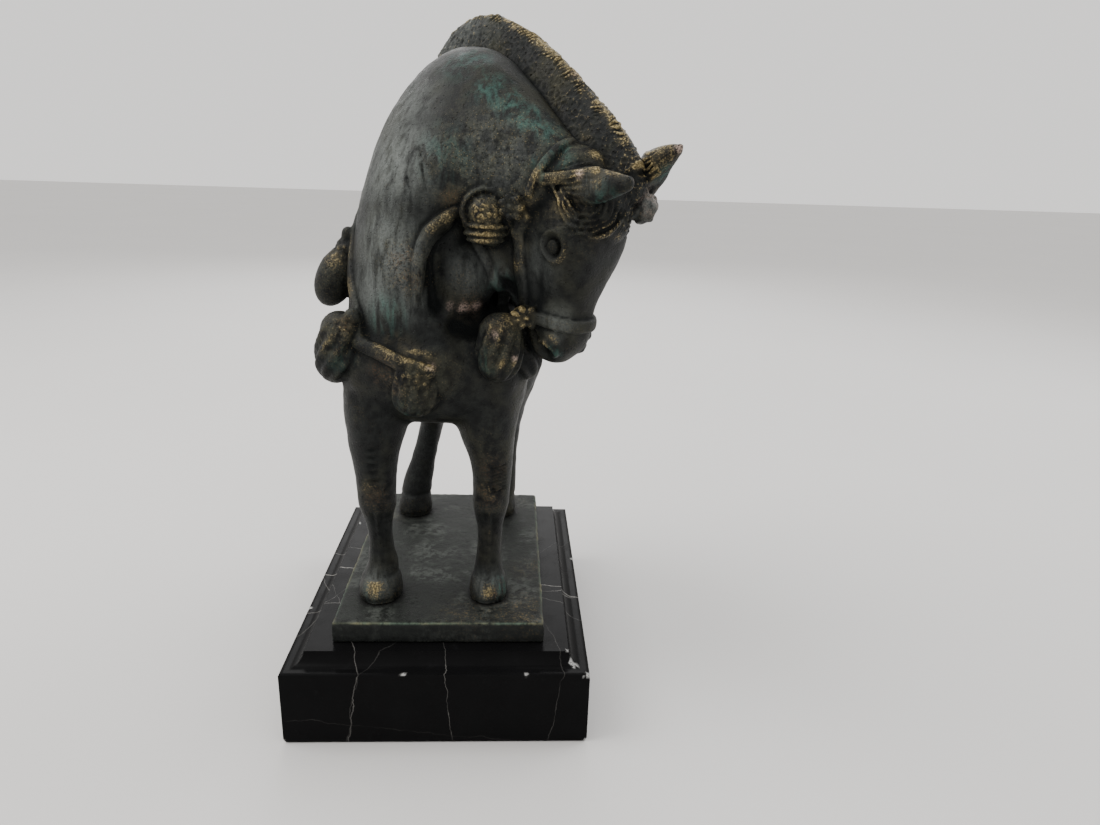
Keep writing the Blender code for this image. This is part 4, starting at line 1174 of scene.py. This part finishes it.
def noise(tree, where, size, detail=4.0, rough=0.6, warp=0.0):
    return node(tree, "ShaderNodeTexNoise", {"Vector": where, "Scale": 1 / size, "Detail": detail, "Roughness": rough,
                                             "Distortion": warp}).outputs["Fac"]


def dots(tree, where, size):
    return node(tree, "ShaderNodeTexVoronoi", {"Vector": where, "Scale": 1 / size}).outputs["Distance"]


def ramp(tree, value, low, high, start=0.0, end=1.0):
    made = node(tree, "ShaderNodeMapRange", {0: value, 1: low, 2: high, 3: start, 4: end},
                interpolation_type="SMOOTHSTEP")
    return made.outputs[0]


def held(tree, name):
    return node(tree, "ShaderNodeAttribute", attribute_name=name).outputs["Fac"]


def stretched(tree, where, scale):
    return node(tree, "ShaderNodeMapping", {"Vector": where, "Scale": scale}).outputs[0]


def start_material(name):
    made = bpy.data.materials.new(name)
    made.use_nodes = True
    tree = made.node_tree
    where = node(tree, "ShaderNodeTexCoord").outputs["Object"]
    return made, tree, tree.nodes["Principled BSDF"], where


def times(tree, *values):
    result = values[0]
    for value in values[1:]:
        result = sums(tree, "MULTIPLY", result, value)
    return result


def bronze():
    made, tree, shader, where = start_material("patinated_bronze")
    broad = noise(tree, where, 0.018, 3)
    mottle = noise(tree, where, 0.0045, 6, 0.65)
    grain = noise(tree, where, 0.0007, 4, 0.7)
    streaks = noise(tree, stretched(tree, where, (1, 1, 0.22)), 0.0035, 5, 0.62, 0.4)
    flecks = ramp(tree, dots(tree, where, 0.0009), 0.30, 0.12)
    fine = ramp(tree, grain, 0.47, 0.60)
    patchy = ramp(tree, mottle, 0.36, 0.60)
    wear, hollow, mane = held(tree, "wear"), held(tree, "hollow"), held(tree, "mane")
    gilt = held(tree, "gold")
    colour = mixed(tree, ramp(tree, mottle, 0.34, 0.68), (0.003, 0.0035, 0.0035), (0.015, 0.017, 0.016))
    olive = times(tree, ramp(tree, broad, 0.45, 0.7), plus(tree, times(tree, mane, 0.3), 0.3))
    colour = mixed(tree, olive, colour, (0.036, 0.034, 0.018))
    worked = held(tree, "fleck")
    colour = mixed(tree, times(tree, worked, ramp(tree, mottle, 0.42, 0.56), 0.5), colour, (0.070, 0.072, 0.050))
    pale = times(tree, held(tree, "pale"), ramp(tree, streaks, 0.25, 0.62))
    colour = mixed(tree, pale, colour, (0.128, 0.140, 0.132))
    teal = times(tree, held(tree, "teal"), ramp(tree, streaks, 0.40, 0.66), 0.8)
    colour = mixed(tree, teal, colour, (0.052, 0.140, 0.115))
    rust = times(tree, held(tree, "rust"), ramp(tree, grain, 0.44, 0.60), patchy, 0.7)
    colour = mixed(tree, rust, colour, (0.13, 0.062, 0.026))
    colour = mixed(tree, times(tree, gilt, patchy, 0.7), colour, (0.075, 0.060, 0.030))
    specks = ramp(tree, noise(tree, where, 0.0012, 4, 0.75), 0.52, 0.40)
    specks = times(tree, specks, plus(tree, times(tree, worked, 0.5), 0.3))
    # Painted shade in the hollows and the eye sockets, darkened together with the dark specks of the metal
    colour = mixed(tree, most(tree, times(tree, hollow, 0.85), specks), colour, (0.003, 0.004, 0.004))
    worn = times(tree, gilt, plus(tree, times(tree, wear, 1.1), times(tree, fine, patchy, 0.34)))
    edges = times(tree, wear, fine, plus(tree, times(tree, mane, 0.42), 0.3))
    sprinkled = times(tree, flecks, worked, ramp(tree, mottle, 0.40, 0.56), 0.7)
    rubbed = most(tree, ramp(tree, plus(tree, worn, edges), 0.16, 1.0), sprinkled)
    gold = mixed(tree, ramp(tree, grain, 0.42, 0.62), (0.12, 0.092, 0.040), (0.34, 0.27, 0.135))
    colour = mixed(tree, rubbed, colour, gold)
    bare = times(tree, held(tree, "bare"), ramp(tree, grain, 0.40, 0.54), patchy)
    colour = mixed(tree, bare, colour, (0.66, 0.50, 0.43))
    metal = most(tree, times(tree, rubbed, 0.45), most(tree, bare, 0.15), True)
    rough = ramp(tree, mottle, 0.3, 0.7, 0.42, 0.60)
    rough = plus(tree, rough, times(tree, hollow, 0.2))
    rough = sums(tree, "SUBTRACT", rough, times(tree, rubbed, 0.06), True)
    pits = ramp(tree, dots(tree, where, 0.0019), 0.26, 0.05)
    height = plus(tree, times(tree, grain, 0.9), times(tree, mottle, 0.9))
    height = sums(tree, "SUBTRACT", height, times(tree, pits, 0.9))
    feed(tree, shader, {"Base Color": colour, "Metallic": metal, "Roughness": rough, "Specular IOR Level": 0.16,
                        "Normal": bumps(tree, height)})
    return made


def plate_metal():
    made, tree, shader, where = start_material("cast_plate_metal")
    broad = noise(tree, where, 0.022, 4)
    mottle = noise(tree, where, 0.0035, 7, 0.75)
    grain = noise(tree, where, 0.0009, 5, 0.75)
    hollow, rim = held(tree, "hollow"), held(tree, "rim")
    colour = mixed(tree, ramp(tree, mottle, 0.36, 0.64), (0.008, 0.009, 0.008), (0.021, 0.024, 0.021))
    colour = mixed(tree, times(tree, ramp(tree, broad, 0.45, 0.62), ramp(tree, mottle, 0.42, 0.58), 0.7),
                   colour, (0.066, 0.072, 0.065))
    ochre = times(tree, held(tree, "rust"), ramp(tree, grain, 0.5, 0.62), ramp(tree, mottle, 0.4, 0.6))
    colour = mixed(tree, times(tree, ochre, 0.8), colour, (0.17, 0.115, 0.045))
    edge = times(tree, rim, ramp(tree, mottle, 0.26, 0.50), ramp(tree, grain, 0.25, 0.5))
    green = mixed(tree, ramp(tree, broad, 0.40, 0.62), (0.13, 0.19, 0.14), (0.24, 0.22, 0.12))
    colour = mixed(tree, edge, colour, green)
    # Painted shade in the pits
    colour = mixed(tree, times(tree, hollow, 0.6), colour, (0.007, 0.008, 0.007))
    crackle = ramp(tree, noise(tree, stretched(tree, where, (1, 1, 0.3)), 0.0012, 4, 0.7), 0.40, 0.58, 0.95, 0.7)
    sides = times(tree, held(tree, "side"), sums(tree, "SUBTRACT", 1.0, edge), crackle)
    colour = mixed(tree, times(tree, sides, 0.85), colour, (0.010, 0.011, 0.011))
    # Painted shadow round each hoof
    colour = mixed(tree, times(tree, held(tree, "hoof_shadow"), 0.9), colour, (0.004, 0.004, 0.004))
    height = plus(tree, times(tree, grain, 0.9), times(tree, mottle, 0.9))
    feed(tree, shader, {"Base Color": colour, "Metallic": times(tree, edge, 0.35), "Normal": bumps(tree, height),
                        "Roughness": ramp(tree, mottle, 0.3, 0.7, 0.5, 0.68), "Specular IOR Level": 0.12})
    return made


# The marble's veins: a point that each goes through, the way across it, its half width and strength
VEINS = (((-0.034, -0.081, 0.017), (1, 0.4, -0.16), 0.0001, 0.15),
         ((-0.0314, -0.081, 0.033), (1, -0.8, -0.16), 8e-05, 0.06),
         ((0.005, -0.081, 0.02), (1, 0.12, 0.08), 9e-05, 0.15),
         ((0.0505, -0.081, 0.02), (1, 0.3, -0.2), 8e-05, 0.07), ((0.0, -0.081, 0.0045), (0.12, 0, 1), 8e-05, 0.03),
         ((0.055, -0.02, 0.038), (0.16, 1, 0.1), 0.00016, 0.45),
         ((0.055, -0.0235, 0.038), (-0.12, 1, 0.3), 0.00012, 0.3),
         ((-0.055, 0.02, 0.038), (0.5, 1, -0.2), 0.00011, 0.2),
         ((0.0, 0.05, 0.02), (0.9, -0.5, 0.35), 0.00011, 0.15))


def black_marble():
    made, tree, shader, where = start_material("veined_black_marble")
    warp = node(tree, "ShaderNodeTexNoise", {"Vector": where, "Scale": 55, "Detail": 5.0, "Roughness": 0.6})
    shift = node(tree, "ShaderNodeVectorMath", {0: warp.outputs["Color"], 1: (0.5, 0.5, 0.5)}, operation="SUBTRACT")
    shift = node(tree, "ShaderNodeVectorMath", {0: shift.outputs[0], "Scale": 0.007}, operation="SCALE")
    bent = node(tree, "ShaderNodeVectorMath", {0: where, 1: shift.outputs[0]}, operation="ADD").outputs[0]
    fading = ramp(tree, noise(tree, where, 0.016, 3), 0.36, 0.56)
    veins = 0.0
    for point, normal, half, strength in VEINS:
        normal = Vector(normal).normalized()
        off = node(tree, "ShaderNodeVectorMath", {0: bent, 1: normal}, operation="DOT_PRODUCT").outputs["Value"]
        off = sums(tree, "ABSOLUTE", sums(tree, "SUBTRACT", off, Vector(point).dot(normal)))
        line = times(tree, ramp(tree, off, half * 2.4, half * 0.3), strength)
        veins = most(tree, veins, line)
    veins = times(tree, veins, plus(tree, times(tree, fading, 0.75), 0.25))
    depth = mixed(tree, noise(tree, where, 0.02, 5), (0.0030, 0.0030, 0.0032), (0.0065, 0.0065, 0.0068))
    clouds = ramp(tree, noise(tree, bent, 0.009, 6, 0.7), 0.58, 0.8)
    colour = mixed(tree, times(tree, clouds, 0.3), depth, (0.022, 0.022, 0.023))
    colour = mixed(tree, veins, colour, (0.55, 0.53, 0.50))
    chip = held(tree, "chip")
    grain = noise(tree, where, 0.0006, 3, 0.7)
    colour = mixed(tree, times(tree, chip, ramp(tree, grain, 0.3, 0.5)), colour, (0.40, 0.40, 0.39))
    rough = plus(tree, ramp(tree, noise(tree, where, 0.012, 4), 0.35, 0.7, 0.18, 0.30),
                 plus(tree, times(tree, chip, 0.45), times(tree, veins, 0.10)), True)
    height = plus(tree, noise(tree, where, 0.004, 3), times(tree, chip, grain))
    feed(tree, shader, {"Base Color": colour, "Roughness": rough, "Normal": bumps(tree, height, 0.15, 0.0002),
                        "Specular IOR Level": 0.03})
    return made


def paper_floor():
    made, tree, shader, where = start_material("pale_floor")
    colour = mixed(tree, noise(tree, where, 0.3, 2), (0.62, 0.61, 0.60), (0.66, 0.65, 0.64))
    feed(tree, shader, {"Base Color": colour, "Roughness": 0.8})
    return made


# Stage
FLOOR_SIZE = 6
FLOOR_DROP = 0.0002


def floor():
    bm = bmesh.new()
    bmesh.ops.create_grid(bm, x_segments=1, y_segments=1, size=FLOOR_SIZE)
    obj = mesh_object("floor", bm)
    obj.location.z = -FLOOR_DROP
    obj.data.materials.append(paper_floor())


def light(name, place, aim, size, power, colour=(1, 1, 1)):
    data = bpy.data.lights.new(name, "AREA")
    data.shape = "DISK"
    data.size = size
    data.energy = power
    data.color = colour
    obj = bpy.data.objects.new(name, data)
    bpy.context.scene.collection.objects.link(obj)
    obj.location = place
    obj.rotation_euler = (Vector(aim) - Vector(place)).to_track_quat("-Z", "Y").to_euler()


def lights():
    light("key", (-0.65, -0.1, 1.0), (0, 0, 0.18), 0.7, 9, (1.0, 0.985, 0.96))
    light("side", (0.9, 0.35, 0.8), (0, 0, 0.15), 0.8, 5, (0.96, 0.98, 1.0))
    light("back", (-0.1, 1.2, 0.9), (0, 0, 0.2), 1.0, 8)
    world = bpy.data.worlds.new("studio")
    world.use_nodes = True
    world.node_tree.nodes["Background"].inputs["Color"].default_value = (0.90, 0.885, 0.865, 1)
    world.node_tree.nodes["Background"].inputs["Strength"].default_value = 1.3
    bpy.context.scene.world = world


# The photograph's view
YAW, PITCH, ROLL = math.radians(3.10371822), math.radians(17.65051223), math.radians(1.87214107)
EYE = (0.02864, -0.35236, 0.23304)
SENSOR = 36
PHOTO_WIDTH = 1100          # in pixels, as the focal length below
FOCAL = 775.74 / PHOTO_WIDTH * SENSOR


def camera():
    data = bpy.data.cameras.new("camera")
    data.sensor_width = SENSOR
    data.lens = FOCAL
    data.clip_start = 0.01
    obj = bpy.data.objects.new("camera", data)
    bpy.context.scene.collection.objects.link(obj)
    ahead = Vector((math.sin(YAW) * math.cos(PITCH), math.cos(YAW) * math.cos(PITCH), -math.sin(PITCH)))
    level = Vector((math.cos(YAW), -math.sin(YAW), 0))
    above = level.cross(ahead)
    right = math.cos(ROLL) * level + math.sin(ROLL) * above
    up = -math.sin(ROLL) * level + math.cos(ROLL) * above
    turn = Matrix((right, up, -ahead)).transposed()
    obj.matrix_world = Matrix.Translation(EYE) @ turn.to_4x4()
    bpy.context.scene.camera = obj


def dress(obj, stands_for, finish):
    obj.data.materials.clear()
    obj.data.materials.append(finish)
    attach(obj, "root")
    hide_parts(stands_for)


def main():
    camera()
    dress(horse(), "horse", bronze())
    dress(plate(), "ground_plate", plate_metal())
    dress(marble(), "marble_base", black_marble())
    floor()
    lights()
    bpy.context.view_layer.update()


main()
